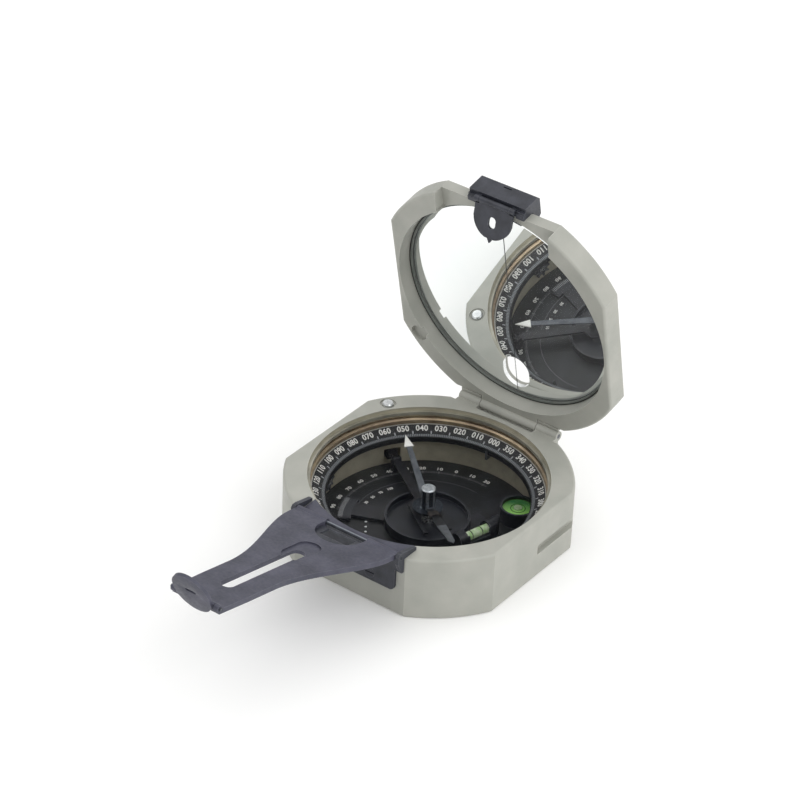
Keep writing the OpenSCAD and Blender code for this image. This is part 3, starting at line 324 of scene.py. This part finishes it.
# Wear along edges: the tone that shows through, its width and its amount
WEAR = {
    "case_paint": ((198, 198, 190), 0.35, 0.7),
    "lid_paint": ((198, 198, 190), 0.35, 0.7),
    "arm_finish": ((128, 130, 140), 0.22, 0.55),
    "black_enamel": ((112, 116, 124), 0.2, 0.6),
    "cup_black": ((128, 134, 140), 0.2, 0.8),
    "lifter_black": ((84, 88, 95), 0.15, 0.5),
    "vernier_black": ((96, 100, 106), 0.2, 0.6),
}

# How patchy the wear is, and how much an edge differs from a face to count as one
WEAR_PATCH = 2.2
WEAR_RANGE = (0.4, 0.62)
WEAR_LEAST = 0.35
EDGE_RANGE = (0.995, 0.9)
EDGE_SAMPLES = 4

# Nodes of the CAD that each finish is for
DRESSED = {
    "case_paint": ("case_body",),
    "lid_paint": ("lid_shell",),
    "arm_finish": ("sight_arm", "tip_leaf"),
    "black_enamel": ("arm_bracket", "bracket_screws", "sight_bracket", "small_sight"),
    "needle_grey": ("needle_north", "needle_south"),
    "cup_black": ("damping_cup", "level_holder", "bullseye_cup"),
    "lifter_black": ("lifter", "fulcrum_post"),
    "bright_steel": ("lift_pin", "pivot_post", "adjuster_shaft"),
    "hub_silver": ("needle_hub",),
    "hinge_steel": ("lid_hinge_pin", "sight_pin", "tip_pin", "fulcrum_pin", "adjuster_pinion",
                    "lift_spring"),
    "arm_pin_steel": ("arm_hinge_pin",),
    "grey_steel": ("clino_shaft", "clino_lever", "index_pin"),
    "brass": ("clino_bush", "adjuster_bush"),
    "tan_ring": ("seat_ring",),
    "cover_ring": ("retaining_ring",),
    "clear_glass": ("glass", "window_glass", "bullseye_window", "level_vial"),
    "silvered": ("mirror",),
    "gasket": ("mirror_gasket",),
    "white_enamel": ("needle_arrow",),
    "sight_line": ("sighting_line",),
    "ruby": ("needle_jewel",),
    "ring_scale": ("azimuth_ring",),
    "dial_scale": ("dial_plate",),
    "vernier_black": ("clino_arm",),
    "long_level_green": ("level_fluid",),
    "round_level_green": ("bullseye_fluid",),
    "bubble_clear": ("bullseye_bubble", "level_bubble"),
    "wire": ("needle_coil",),
}


# Node helpers

class Graph:
    """Adds nodes to a node tree and links them."""

    def __init__(self, tree):
        self.nodes = tree.nodes
        self.links = tree.links

    def feed(self, socket, value):
        """Links another node's output to a socket, or sets the socket to a constant."""
        if isinstance(value, bpy.types.NodeSocket):
            self.links.new(value, socket)
        else:
            socket.default_value = value

    def add(self, kind, inputs=None, **settings):
        """A new node with its settings, and with inputs given by their name or place."""
        node = self.nodes.new(kind)
        for key, value in settings.items():
            setattr(node, key, value)
        for key, value in (inputs or {}).items():
            self.feed(node.inputs[key], value)
        return node

    def calc(self, operation, *values):
        inputs = dict(enumerate(values))
        return self.add("ShaderNodeMath", inputs, operation=operation).outputs[0]

    def vector(self, operation, *values):
        inputs = dict(enumerate(values))
        node = self.add("ShaderNodeVectorMath", inputs, operation=operation)
        return node.outputs["Value" if operation in ("LENGTH", "DOT_PRODUCT") else "Vector"]

    def both(self, first, second):
        return self.calc("MULTIPLY", first, second)

    def either(self, first, second):
        return self.calc("MAXIMUM", first, second)

    def between(self, value, low, high):
        """1 where low < value < high, else 0."""
        return self.both(self.calc("GREATER_THAN", value, low), self.calc("LESS_THAN", value, high))

    def spread(self, value, low, high, out_low, out_high):
        """Spreads low to high over out_low to out_high."""
        limits = {"From Min": low, "From Max": high, "To Min": out_low, "To Max": out_high}
        return self.add("ShaderNodeMapRange", {"Value": value, **limits}).outputs["Result"]

    def mix(self, mask, first, second):
        """Colour first where mask is 0, second where it is 1."""
        node = self.add("ShaderNodeMix", {"Factor": mask}, data_type="RGBA")
        colours = [socket for socket in node.inputs if socket.type == "RGBA"]
        for socket, colour in zip(colours, (first, second)):
            self.feed(socket, colour)
        return [socket for socket in node.outputs if socket.type == "RGBA"][0]


class Finish(Graph):
    """A procedural material that is built up from its Principled shader."""

    def __init__(self, name, colour, roughness, metallic=0.0):
        self.material = bpy.data.materials.new(name)
        self.material.use_nodes = True
        super().__init__(self.material.node_tree)
        self.shader = self.nodes["Principled BSDF"]
        self.put("Base Color", colour)
        self.put("Roughness", roughness)
        self.put("Metallic", metallic)
        self.place = self.add("ShaderNodeTexCoord").outputs["Object"]

    def put(self, socket, value):
        """Sets or links one of the shader's inputs."""
        self.feed(self.shader.inputs[socket], value)

    def glow(self, colour, strength):
        self.put("Emission Color", colour)
        self.put("Emission Strength", strength)

    def see_through(self, alpha):
        self.put("Alpha", alpha)
        self.material.surface_render_method = "BLENDED"

    def noise(self, size_mm, detail=3.0):
        inputs = {"Scale": 1 / (size_mm * MM), "Detail": detail, "Vector": self.place}
        return self.add("ShaderNodeTexNoise", inputs).outputs["Fac"]

    def axes(self):
        return self.add("ShaderNodeSeparateXYZ", {0: self.place}).outputs

    def along(self, axis):
        """Place on one axis in millimetres."""
        return self.calc("MULTIPLY", self.axes()[axis], 1 / MM)

    def toward(self, direction):
        """How far a place lies toward a direction, in metres for one of unit length."""
        return self.vector("DOT_PRODUCT", self.place, direction)

    def polar(self):
        """Distance from the upright axis in millimetres and azimuth in degrees, 0 to 360."""
        x, y, _ = self.axes()
        square = self.calc("ADD", self.calc("MULTIPLY", x, x), self.calc("MULTIPLY", y, y))
        radius = self.calc("MULTIPLY", self.calc("SQRT", square), 1 / MM)
        degrees = self.calc("MULTIPLY", self.calc("ARCTAN2", y, x), 180 / math.pi)
        return radius, self.calc("FLOORED_MODULO", degrees, 360)

    def ticks(self, azimuth, step, width, start=0):
        """1 on lines every step degrees from start, width degrees wide."""
        shifted = self.calc("ADD", azimuth, width / 2 - start)
        return self.calc("LESS_THAN", self.calc("FLOORED_MODULO", shifted, step), width)

    def axis_distance(self, centre, direction):
        """Distance in millimetres from the line through centre along a unit direction."""
        arm = self.vector("CROSS_PRODUCT", self.vector("SUBTRACT", self.place, centre), direction)
        return self.calc("MULTIPLY", self.vector("LENGTH", arm), 1 / MM)

    def edges(self, radius_mm):
        """1 on outer and inner edges, 0 on the faces between them."""
        rounded = self.add("ShaderNodeBevel", {"Radius": radius_mm * MM}, samples=EDGE_SAMPLES)
        flat = self.add("ShaderNodeNewGeometry").outputs["Normal"]
        likeness = self.vector("DOT_PRODUCT", rounded.outputs["Normal"], flat)
        return self.spread(likeness, *EDGE_RANGE, 0, 1)

    def bump(self, height, strength, depth_mm):
        inputs = {"Strength": strength, "Distance": depth_mm * MM, "Height": height}
        self.put("Normal", self.add("ShaderNodeBump", inputs).outputs["Normal"])


def surface(name):
    """A finish whose colour wanders between its tones, with uneven gloss and a fine grain."""
    low, high, patch_mm, roughness, metallic, grain_mm, grain = FINISHES[name]
    low, high = srgb(*low), srgb(*high)
    middle = tuple((a + b) / 2 for a, b in zip(low, high))
    f = Finish(name, middle, sum(roughness) / 2, metallic)
    f.high = high
    f.colour = f.mix(f.spread(f.noise(patch_mm, detail=4), *PATCH_RANGE, 0, 1), low, high)
    f.put("Base Color", f.colour)
    f.put("Roughness", f.spread(f.noise(patch_mm * GLOSS_SHARE), *GLOSS_RANGE, *roughness))
    f.bump(f.noise(grain_mm, detail=2), grain, GRAIN_DEPTH)
    return f


def wear(f, tone, width_mm, amount):
    """Lets another tone show through where the edges have rubbed."""
    patchy = f.spread(f.noise(WEAR_PATCH, detail=4), *WEAR_RANGE, WEAR_LEAST, 1)
    rubbed = f.calc("MULTIPLY", f.both(f.edges(width_mm), patchy), amount)
    f.colour = f.mix(rubbed, f.colour, srgb(*tone))
    f.put("Base Color", f.colour)


# What some finishes have beyond their tones

def bare_bore(f):
    """Satin metal inside the case's bore, where the enamel ends."""
    radius, _ = f.polar()
    metal = f.mix(f.noise(BORE_PATCH, detail=5), *BORE_TONES)
    inside = f.both(f.calc("LESS_THAN", radius, BORE_R), f.between(f.along(2), *BORE_Z))
    f.put("Base Color", f.mix(inside, f.colour, metal))
    f.put("Metallic", f.calc("MULTIPLY", inside, BORE_METALLIC))
    f.put("Roughness", f.spread(inside, 0, 1, PAINT_ROUGHNESS, BORE_ROUGHNESS))


def dark_south(f):
    """Nearly black from the hub to the weight, on the needle's south half."""
    radius, _ = f.polar()
    dark = f.calc("MULTIPLY", f.between(radius, *NEEDLE_DARK_R), NEEDLE_DARK_AMOUNT)
    x, y, _ = f.axes()
    south = f.calc("LESS_THAN", f.calc("SUBTRACT", y, x), 0)
    f.put("Base Color", f.mix(f.both(dark, south), f.colour, NEEDLE_DARK_TONE))


def cut_barrel(f):
    """Painted shade on the barrel under the hub's silver cap, with painted highlight stripes round
    it.
    """
    radius, azimuth = f.polar()
    # Painted highlight stripes round the barrel, over a painted shade below the cap
    turns = f.ticks(azimuth, HUB_HIGHLIGHT_STEP, HUB_HIGHLIGHT_DEGREES)
    highlights = f.both(turns, f.calc("LESS_THAN", radius, HUB_BARREL_R))
    barrel = f.mix(highlights, HUB_BARREL_PAINTED_SHADE_TONE, HUB_PAINTED_HIGHLIGHT_TONE)
    lower = f.calc("LESS_THAN", f.along(2), HUB_CAP_Z)
    f.put("Base Color", f.mix(lower, f.colour, barrel))


def rubbed_top(f):
    """Painted highlight: a bright line along the top of the blued pin."""
    # Painted highlight along the pin's top
    top = f.calc("GREATER_THAN", f.along(2), ARM_AXIS_Z + ARM_PIN_HIGHLIGHT_RISE)
    f.put("Base Color", f.mix(top, f.colour, ARM_PIN_HIGHLIGHT_TONE))


def thin_glass(f):
    """Nearly clear, with a faint bloom."""
    f.put("IOR", GLASS_IOR)
    f.put("Specular IOR Level", GLASS_SPECULAR)
    f.see_through(f.spread(f.noise(GLASS_BLOOM, detail=2), *GLOSS_RANGE, *GLASS_ALPHA))


def haze(f):
    """Slight painted white glow over the mirror, making it look hazy."""
    # Painted glow over the mirror
    f.glow(WHITE, MIRROR_GLOW)


def gasket_line(f):
    """Black line round the mirror, with paint on the rest of the seal."""
    line = f.between(f.axis_distance(MIRROR_CENTRE, MIRROR_NORMAL), *GASKET_LINE_R)
    f.put("Base Color", f.mix(line, f.colour, GASKET_LINE_TONE))


def hair_line(f):
    """Only a fine line along the middle of the strip shows."""
    f.see_through(f.between(f.along(0), -SIGHT_LINE_HALF, SIGHT_LINE_HALF))


def ring_marks(f):
    """Pale strip with a line for each degree, ticks between the numerals, and a painted highlight
    on the outer edge.
    """
    radius, azimuth = f.polar()
    face = f.calc("GREATER_THAN", f.along(2), RING_PAINT_Z)
    strip = f.both(f.between(radius, *RING_STRIP_R), face)
    degrees = f.ticks(azimuth, 1, RING_LINE_DEGREES)
    lined = f.mix(degrees, RING_STRIP_TONE, RING_LINE_TONE)
    fives = f.ticks(azimuth, RING_NUMERAL_STEP, RING_TICK_DEGREES, RING_NUMERAL_STEP / 2)
    ticks = f.both(f.both(fives, f.between(radius, *RING_TICK_R)), face)
    # Painted highlight along the ring's outer edge
    edge = f.both(f.calc("GREATER_THAN", radius, RING_EDGE_R), face)
    colour = f.mix(strip, f.colour, lined)
    colour = f.mix(ticks, colour, RING_TICK_TONE)
    f.put("Base Color", f.mix(edge, colour, RING_EDGE_HIGHLIGHT_TONE))
    f.put("Metallic", f.calc("MULTIPLY", f.either(edge, strip), RING_METALLIC))


def dial_marks(f):
    """The clinometer's lines on the matt black plate, and a short row of white dots."""
    radius, azimuth = f.polar()
    scale_end = DIAL_SCALE_START + (DIAL_SCALE_NUMBERS - 1) * DIAL_SCALE_STEP
    arc = f.between(azimuth, DIAL_SCALE_START - DIAL_SCALE_PAST, scale_end + DIAL_SCALE_PAST)
    ones = f.both(f.ticks(azimuth, DIAL_SCALE_STEP / 10, DIAL_ONES_DEGREES),
                  f.between(radius, *DIAL_ONES_R))
    tens = f.both(f.ticks(azimuth, DIAL_SCALE_STEP, DIAL_TENS_DEGREES, DIAL_SCALE_START),
                  f.between(radius, *DIAL_TENS_R))
    lines = f.either(f.between(radius, *DIAL_LINE_R), f.between(radius, *DIAL_INNER_LINE_R))
    marks = f.either(f.either(ones, tens), lines)
    colour = f.mix(f.both(marks, arc), f.colour, DIAL_MARK_TONE)
    for x, y in INDEX_DOTS:
        distance = f.axis_distance(Vector((x, y, 0)) * MM, (0, 0, 1))
        colour = f.mix(f.calc("LESS_THAN", distance, INDEX_DOT_R), colour, INDEX_DOT_TONE)
    f.put("Base Color", colour)


def vernier_marks(f):
    """The vernier's short lines along the arm's outer edge, on a paler ground."""
    radius, azimuth = f.polar()
    sector = f.between(azimuth, VERNIER_AZ - VERNIER_HALF, VERNIER_AZ + VERNIER_HALF)
    lines = f.both(f.ticks(azimuth, VERNIER_STEP, VERNIER_LINE_DEGREES),
                   f.between(radius, *VERNIER_LINE_R))
    plate = f.both(f.calc("GREATER_THAN", radius, VERNIER_GROUND_R), sector)
    paler = f.calc("MULTIPLY", plate, VERNIER_GROUND_AMOUNT)
    ground = f.mix(paler, f.colour, VERNIER_GROUND_TONE)
    f.put("Base Color", f.mix(f.both(lines, sector), ground, VERNIER_LINE_TONE))


def vial_lines(f):
    """Tinted liquid with a painted glow, and the vial's two lines either side of the bubble."""
    # Painted glow in the liquid
    f.glow(f.high, LIQUID_GLOW)
    along = f.toward(Vector((-math.sin(LEVEL_TURN), math.cos(LEVEL_TURN), 0)) / MM)
    lines = f.either(*(f.between(along, *line) for line in VIAL_LINES))
    f.put("Base Color", f.mix(lines, f.colour, VIAL_LINE_TONE))


def target_circle(f):
    """Tinted liquid with a painted glow, painted shading from teal to pale toward the lit side, and
    the target circle drawn round the bubble.
    """
    # Painted glow in the liquid
    f.glow(f.high, LIQUID_GLOW)
    # Painted shading: teal on the shaded side, pale on the lit side
    middle = BULLSEYE_PLACE.dot(BULLSEYE_LIT_SIDE)
    shaded_end, lit_end = (middle + reach * MM for reach in BULLSEYE_PAINTED_SHADE_SPAN)
    shade = f.spread(f.toward(BULLSEYE_LIT_SIDE), shaded_end, lit_end, 0, 1)
    circle = f.between(f.axis_distance(BULLSEYE_PLACE, (0, 0, 1)), *TARGET_CIRCLE_R)
    f.put("Base Color", f.mix(circle, f.mix(shade, *BULLSEYE_SHADED_AND_LIT_TONES), TARGET_CIRCLE_TONE))


def clear_bubble(f):
    """Bubble that the liquid's colour shows through."""
    f.see_through(BUBBLE_ALPHA)


EXTRAS = {
    "case_paint": bare_bore,
    "needle_grey": dark_south,
    "hub_silver": cut_barrel,
    "arm_pin_steel": rubbed_top,
    "clear_glass": thin_glass,
    "silvered": haze,
    "gasket": gasket_line,
    "sight_line": hair_line,
    "ring_scale": ring_marks,
    "dial_scale": dial_marks,
    "vernier_black": vernier_marks,
    "long_level_green": vial_lines,
    "round_level_green": target_circle,
    "bubble_clear": clear_bubble,
}


def finished(name):
    """Material of a finish, with its wear and whatever else it has."""
    f = surface(name)
    if name in WEAR:
        wear(f, *WEAR[name])
    if name in EXTRAS:
        EXTRAS[name](f)
    return f.material


def dress_nodes(materials):
    """Gives each node of the CAD its material."""
    for finish, names in DRESSED.items():
        for name in names:
            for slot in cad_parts[name].material_slots:
                slot.material = materials[finish]


# Modelling helpers

def select_only(*objects):
    """Selects these objects and nothing else, and makes the first one active."""
    bpy.ops.object.select_all(action="DESELECT")
    for obj in objects:
        obj.select_set(True)
    if objects:
        bpy.context.view_layer.objects.active = objects[0]


def apply_place(obj):
    """Puts an object's place, turn and scale into its mesh."""
    select_only(obj)
    bpy.ops.object.transform_apply(location=True, rotation=True, scale=True)


def settle(obj, place):
    """Moves a shape to its place and applies it."""
    obj.matrix_world = place
    apply_place(obj)


def join(pieces, name):
    """Makes one piece of several."""
    select_only(*pieces)
    bpy.ops.object.join()
    joined = bpy.context.object
    joined.name = name
    return joined


def finish_piece(piece, name, material, body):
    """Gives a piece its name, its material and the body that it moves with."""
    piece.name = name
    piece.data.materials.clear()
    piece.data.materials.append(material)
    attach(piece, body)


def block(low, high, place=Matrix()):
    """A box from low to high in millimetres, then set in its place."""
    select_only()
    low, high = Vector(low) * MM, Vector(high) * MM
    bpy.ops.mesh.primitive_cube_add(size=1, location=(low + high) / 2)
    piece = bpy.context.object
    piece.scale = high - low
    apply_place(piece)
    settle(piece, place)
    return piece


def rod(radius, start, end, centre, place=Matrix(), sides=64):
    """A cylinder along Z from start to end in millimetres, then set in its place."""
    select_only()
    middle = Vector((*centre, (start + end) / 2)) * MM
    bpy.ops.mesh.primitive_cylinder_add(vertices=sides, radius=radius * MM,
                                        depth=(end - start) * MM, location=middle)
    piece = bpy.context.object
    apply_place(piece)
    settle(piece, place)
    return piece


def stretch(piece, axis, beyond, by):
    """Moves the points past a place on one axis by a distance, all in millimetres."""
    for point in piece.data.vertices:
        if point.co[axis] > beyond * MM:
            point.co[axis] += by * MM


def copy_of(node, name):
    """Own copy of a node's mesh, with its loose triangles joined."""
    piece = bpy.data.objects.new(name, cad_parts[node].data.copy())
    bpy.context.collection.objects.link(piece)
    select_only(piece)
    bpy.ops.object.mode_set(mode="EDIT")
    bpy.ops.mesh.select_all(action="SELECT")
    bpy.ops.mesh.remove_doubles(threshold=MERGE_DISTANCE)
    bpy.ops.object.mode_set(mode="OBJECT")
    return piece


def apply_modifier(piece, kind, **settings):
    """Adds a modifier with its settings and applies it."""
    select_only(piece)
    modifier = piece.modifiers.new(kind.lower(), kind)
    for key, value in settings.items():
        setattr(modifier, key, value)
    bpy.ops.object.modifier_apply(modifier=modifier.name)


def combine(piece, other, operation):
    """Cuts away or adds what lies in the other shape, which is then gone."""
    apply_modifier(piece, "BOOLEAN", object=other, operation=operation, solver="EXACT")
    bpy.data.objects.remove(other)


def soften(piece, width_mm):
    """Rounds the edges a little and smooths what is left of them."""
    apply_modifier(piece, "BEVEL", width=width_mm * MM, segments=SOFT_SEGMENTS,
                   limit_method="ANGLE", angle_limit=math.radians(SOFT_ANGLE))
    select_only(piece)
    bpy.ops.object.shade_smooth_by_angle(angle=math.radians(SMOOTH_ANGLE))


def both_sides(near, far):
    """For the left and then the right: the side's sign, and its span from near to far in order."""
    return [(side, sorted((side * near, side * far))) for side in (-1, 1)]


def radial_frame(radius, azimuth, z, slope=0.0):
    """Place on a dial: X runs clockwise, Y outward and up the slope, Z out of the face."""
    x, y = math.cos(math.radians(azimuth)), math.sin(math.radians(azimuth))
    run, rise = math.cos(slope), math.sin(slope)
    outward = Vector((x * run, y * run, rise))
    normal = Vector((-x * rise, -y * rise, run))
    clockwise = outward.cross(normal)
    place = Matrix((clockwise, outward, normal)).transposed().to_4x4()
    place.translation = Vector((radius * x, radius * y, z)) * MM
    return place


# Numerals

def numeral(number, size, place):
    """One engraved and filled number, as a thin solid on the face that it lies on."""
    height_mm, squeeze = size
    select_only()
    bpy.ops.object.text_add()
    label = bpy.context.object
    label.data.body = number
    label.data.size = height_mm * MM / NUMERAL_CAP_SHARE
    label.data.space_character = NUMERAL_SPACING
    label.data.resolution_u = NUMERAL_RESOLUTION
    label.data.align_x = "CENTER"
    label.data.align_y = "CENTER"
    label.data.extrude = NUMERAL_HALF_T * MM
    label.data.offset = NUMERAL_BOLD_SHARE * height_mm * MM
    bpy.ops.object.convert(target="MESH")
    label = bpy.context.object
    settle(label, place @ Matrix.Diagonal((squeeze, 1, 1, 1)))
    return label


def azimuth_numerals(material):
    """Three figures every ten degrees, rising anticlockwise as a pocket transit's do."""
    slope = math.atan2(RING_FACE_RISE, RING_FACE_OUTER_R - RING_FACE_INNER_R)
    climb = (RING_NUMERAL_R - RING_FACE_INNER_R) * math.tan(slope)
    z = RING_FACE_Z + climb + RING_NUMERAL_LIFT
    numbers = []
    for degrees in range(0, 360, RING_NUMERAL_STEP):
        place = radial_frame(RING_NUMERAL_R, RING_ZERO_AZ + degrees, z, slope)
        numbers.append(numeral(f"{degrees:03d}", RING_NUMERAL, place))
    finish_piece(join(numbers, "azimuth_numerals"), "azimuth_numerals", material, "ring")


def dial_numerals(material):
    """Tens along the clinometer's scale, and four numbers of the inner one."""
    z = PLATE_TOP_Z + DIAL_NUMERAL_LIFT
    numbers = []
    for step in range(DIAL_SCALE_NUMBERS):
        place = radial_frame(DIAL_NUMERAL_R, DIAL_SCALE_START + step * DIAL_SCALE_STEP, z)
        numbers.append(numeral(str(abs(step - DIAL_SCALE_ZERO) * 10), DIAL_NUMERAL, place))
    for step, number in enumerate(GRADE_NUMBERS):
        place = radial_frame(GRADE_NUMERAL_R, GRADE_START + step * GRADE_STEP, z)
        numbers.append(numeral(str(number), GRADE_NUMERAL, place))
    finish_piece(join(numbers, "dial_numerals"), "dial_numerals", material, "case")


# Pieces that stand for a node or trim it

def hinge_ledge(material):
    """Sloped ledge of the case under the lid's knuckles."""
    piece = block(*zip((-LID_HINGE_HALF, LID_HINGE_HALF), LEDGE_Y, LEDGE_Z))
    for point in piece.data.vertices:
        if point.co.z < LEDGE_LIP_Z * MM and point.co.y > CASE_HALF * MM:
            point.co.z = LEDGE_LIP_Z * MM
    for _, span in both_sides(*LEDGE_STEP_SIDE):
        combine(piece, block(*zip(span, LEDGE_Y, LEDGE_STEP_Z)), "UNION")
    soften(piece, width_mm=0.15)
    finish_piece(piece, "hinge_ledge", material, "case")


def lid_edge_strips(material):
    """Strips on the lid's edge behind the outer knuckles."""
    strips = []
    for _, span in both_sides(*LID_STRIP_SIDE):
        strips.append(block(*zip(span, LID_STRIP_Y, LID_STRIP_Z), LID_PLACE))
        soften(strips[-1], width_mm=0.1)
    finish_piece(join(strips, "lid_edge_strips"), "lid_edge_strips", material, "lid")


def rim_strip(material):
    """Thin plate on the rim behind the sight arm's hinge."""
    piece = block(*RIM_STRIP)
    bore = rod(RIM_STRIP_BORE_R, *RIM_STRIP_BORE_Z, (0, 0), sides=180)
    combine(piece, bore, "DIFFERENCE")
    soften(piece, width_mm=0.07)
    finish_piece(piece, "rim_strip", material, "case")


def level_hood(material):
    """Holder of the long level, with its window cut wider so that more of the vial shows."""
    piece = copy_of("level_holder", "level_hood")
    window = block(*LEVEL_WINDOW, Matrix.Rotation(LEVEL_TURN, 4, "Z"))
    combine(piece, window, "DIFFERENCE")
    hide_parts("level_holder")
    finish_piece(piece, "level_hood", material, "clinometer")


def arm_plate(material):
    """Sight arm with a wide slot, a dish at its end, a slim tip and a recess for the leaf."""
    piece = copy_of("sight_arm", "arm_plate")
    for side, span in both_sides(*ARM_END_SIDE):
        wedge = block(*zip(span, ARM_END_Y, ARM_END_Z))
        for point in wedge.data.vertices:
            at_tip = point.co.y < ARM_END_MIDDLE_Y * MM
            point.co.x += side * (-ARM_END_TAPER if at_tip else ARM_END_CLEAR) * MM
        settle(wedge, ARM_PLACE)
        combine(piece, wedge, "DIFFERENCE")
    combine(piece, block(*LEAF_RECESS, TIP_BASE), "DIFFERENCE")
    slot = rod(ARM_SLOT_R, *ARM_SLOT_Z, (0, ARM_SLOT_Y))
    stretch(slot, 1, ARM_SLOT_Y, ARM_SLOT_LEN)
    dish = rod(ARM_DISH_R, *ARM_DISH_Z, (0, ARM_DISH_Y))
    stretch(dish, 1, ARM_DISH_Y, ARM_DISH_LEN)
    for cutter in (slot, dish):
        settle(cutter, ARM_PLACE)
        combine(piece, cutter, "DIFFERENCE")
    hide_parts("sight_arm")
    finish_piece(piece, "arm_plate", material, "sight_arm")


def window_floor(material):
    """Sunk floor of the arm's window, with a slot beside the hinge."""
    piece = rod(WINDOW_R, *WINDOW_Z, (0, WINDOW_Y), sides=96)
    for low, high in WINDOW_CUTS:
        combine(piece, block(low, high), "DIFFERENCE")
    soften(piece, width_mm=0.08)
    settle(piece, ARM_PLACE)
    finish_piece(piece, "window_floor", material, "sight_arm")


def peep_leaf(material):
    """Tip leaf: a round-ended plate across its knuckle, with a slit to look through."""
    piece = rod(LEAF_R, *LEAF_Z, (0, -LEAF_MIDDLE))
    stretch(piece, 1, -LEAF_MIDDLE, LEAF_STRAIGHT)
    across = Matrix.Rotation(math.pi / 2, 4, "Y")
    knuckle = rod(LEAF_KNUCKLE_R, -LEAF_KNUCKLE_HALF, LEAF_KNUCKLE_HALF, (0, 0), across)
    combine(piece, knuckle, "UNION")
    slit = rod(LEAF_SLIT_R, *LEAF_SLIT_Z, (-LEAF_SLIT_HALF, LEAF_SLIT_Y), sides=32)
    stretch(slit, 0, -LEAF_SLIT_HALF, 2 * LEAF_SLIT_HALF)
    combine(piece, slit, "DIFFERENCE")
    bore = rod(LEAF_BORE_R, -LEAF_BORE_HALF, LEAF_BORE_HALF, (0, 0), across)
    combine(piece, bore, "DIFFERENCE")
    soften(piece, width_mm=0.18)
    settle(piece, TIP_PLACE)
    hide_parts("tip_leaf")
    finish_piece(piece, "peep_leaf", material, "tip_leaf")


# Camera, floor, sky and lamps

def add_camera():
    """Camera that looks from the photograph's place."""
    az, el, roll = CAMERA_AZIMUTH, CAMERA_ELEVATION, CAMERA_ROLL
    back = Vector((math.sin(az) * math.cos(el), -math.cos(az) * math.cos(el), math.sin(el)))
    level = Vector((math.cos(az), math.sin(az), 0))
    upright = back.cross(level)
    right = level * math.cos(roll) + upright * math.sin(roll)
    up = upright * math.cos(roll) - level * math.sin(roll)
    place = Matrix((right, up, back)).transposed().to_4x4()
    place.translation = CAMERA_TARGET + back * CAMERA_DISTANCE
    camera = bpy.data.objects.new("camera", bpy.data.cameras.new("camera"))
    bpy.context.collection.objects.link(camera)
    camera.data.sensor_width = CAMERA_SENSOR
    camera.data.lens = CAMERA_LENS
    camera.data.clip_start, camera.data.clip_end = CAMERA_CLIP
    camera.matrix_world = place
    bpy.context.scene.camera = camera


def add_lamp(name, place, target, power):
    """A soft square lamp that faces its target."""
    light = bpy.data.lights.new(name, "AREA")
    light.shape = "RECTANGLE"
    light.size = light.size_y = LAMP_SIZE
    light.energy = power
    lamp = bpy.data.objects.new(name, light)
    bpy.context.collection.objects.link(lamp)
    lamp.location = place
    lamp.rotation_mode = "QUATERNION"
    lamp.rotation_quaternion = (Vector(target) - Vector(place)).to_track_quat("-Z", "Y")


def add_floor():
    """Pale plain floor."""
    select_only()
    bpy.ops.mesh.primitive_plane_add(size=FLOOR_SIZE)
    floor = bpy.context.object
    floor.name = "floor"
    pale = Finish("pale_floor", FLOOR_TONE, FLOOR_ROUGHNESS)
    pale.glow(WHITE, FLOOR_GLOW)
    floor.data.materials.append(pale.material)


def add_sky():
    """White all round, with a strength that rises toward one side and dims toward another."""
    world = bpy.data.worlds.new("studio")
    world.use_nodes = True
    sky = Graph(world.node_tree)
    direction = sky.add("ShaderNodeTexCoord").outputs["Generated"]
    lean = sky.vector("DOT_PRODUCT", direction, SKY_LEAN)
    facing = sky.calc("MAXIMUM", sky.vector("DOT_PRODUCT", direction, SKY_DARK_SIDE), 0)
    dimming = sky.calc("MULTIPLY", sky.calc("POWER", facing, 2), -SKY_DARKENING)
    strength = sky.calc("ADD", sky.calc("ADD", lean, SKY_LEVEL), dimming)
    background = sky.nodes["Background"]
    sky.feed(background.inputs["Color"], WHITE)
    sky.feed(background.inputs["Strength"], sky.calc("MAXIMUM", strength, SKY_LEAST))
    bpy.context.scene.world = world


add_camera()
add_floor()
add_sky()
for lamp in LAMPS:
    add_lamp(*lamp)
bpy.context.scene.view_settings.view_transform = "Standard"

MATERIALS = {name: finished(name) for name in FINISHES}
dress_nodes(MATERIALS)
azimuth_numerals(MATERIALS["numeral_white"])
dial_numerals(MATERIALS["numeral_white"])
hinge_ledge(MATERIALS["case_paint"])
lid_edge_strips(MATERIALS["lid_paint"])
rim_strip(MATERIALS["arm_finish"])
level_hood(MATERIALS["cup_black"])
arm_plate(MATERIALS["arm_finish"])
window_floor(MATERIALS["black_enamel"])
peep_leaf(MATERIALS["arm_finish"])
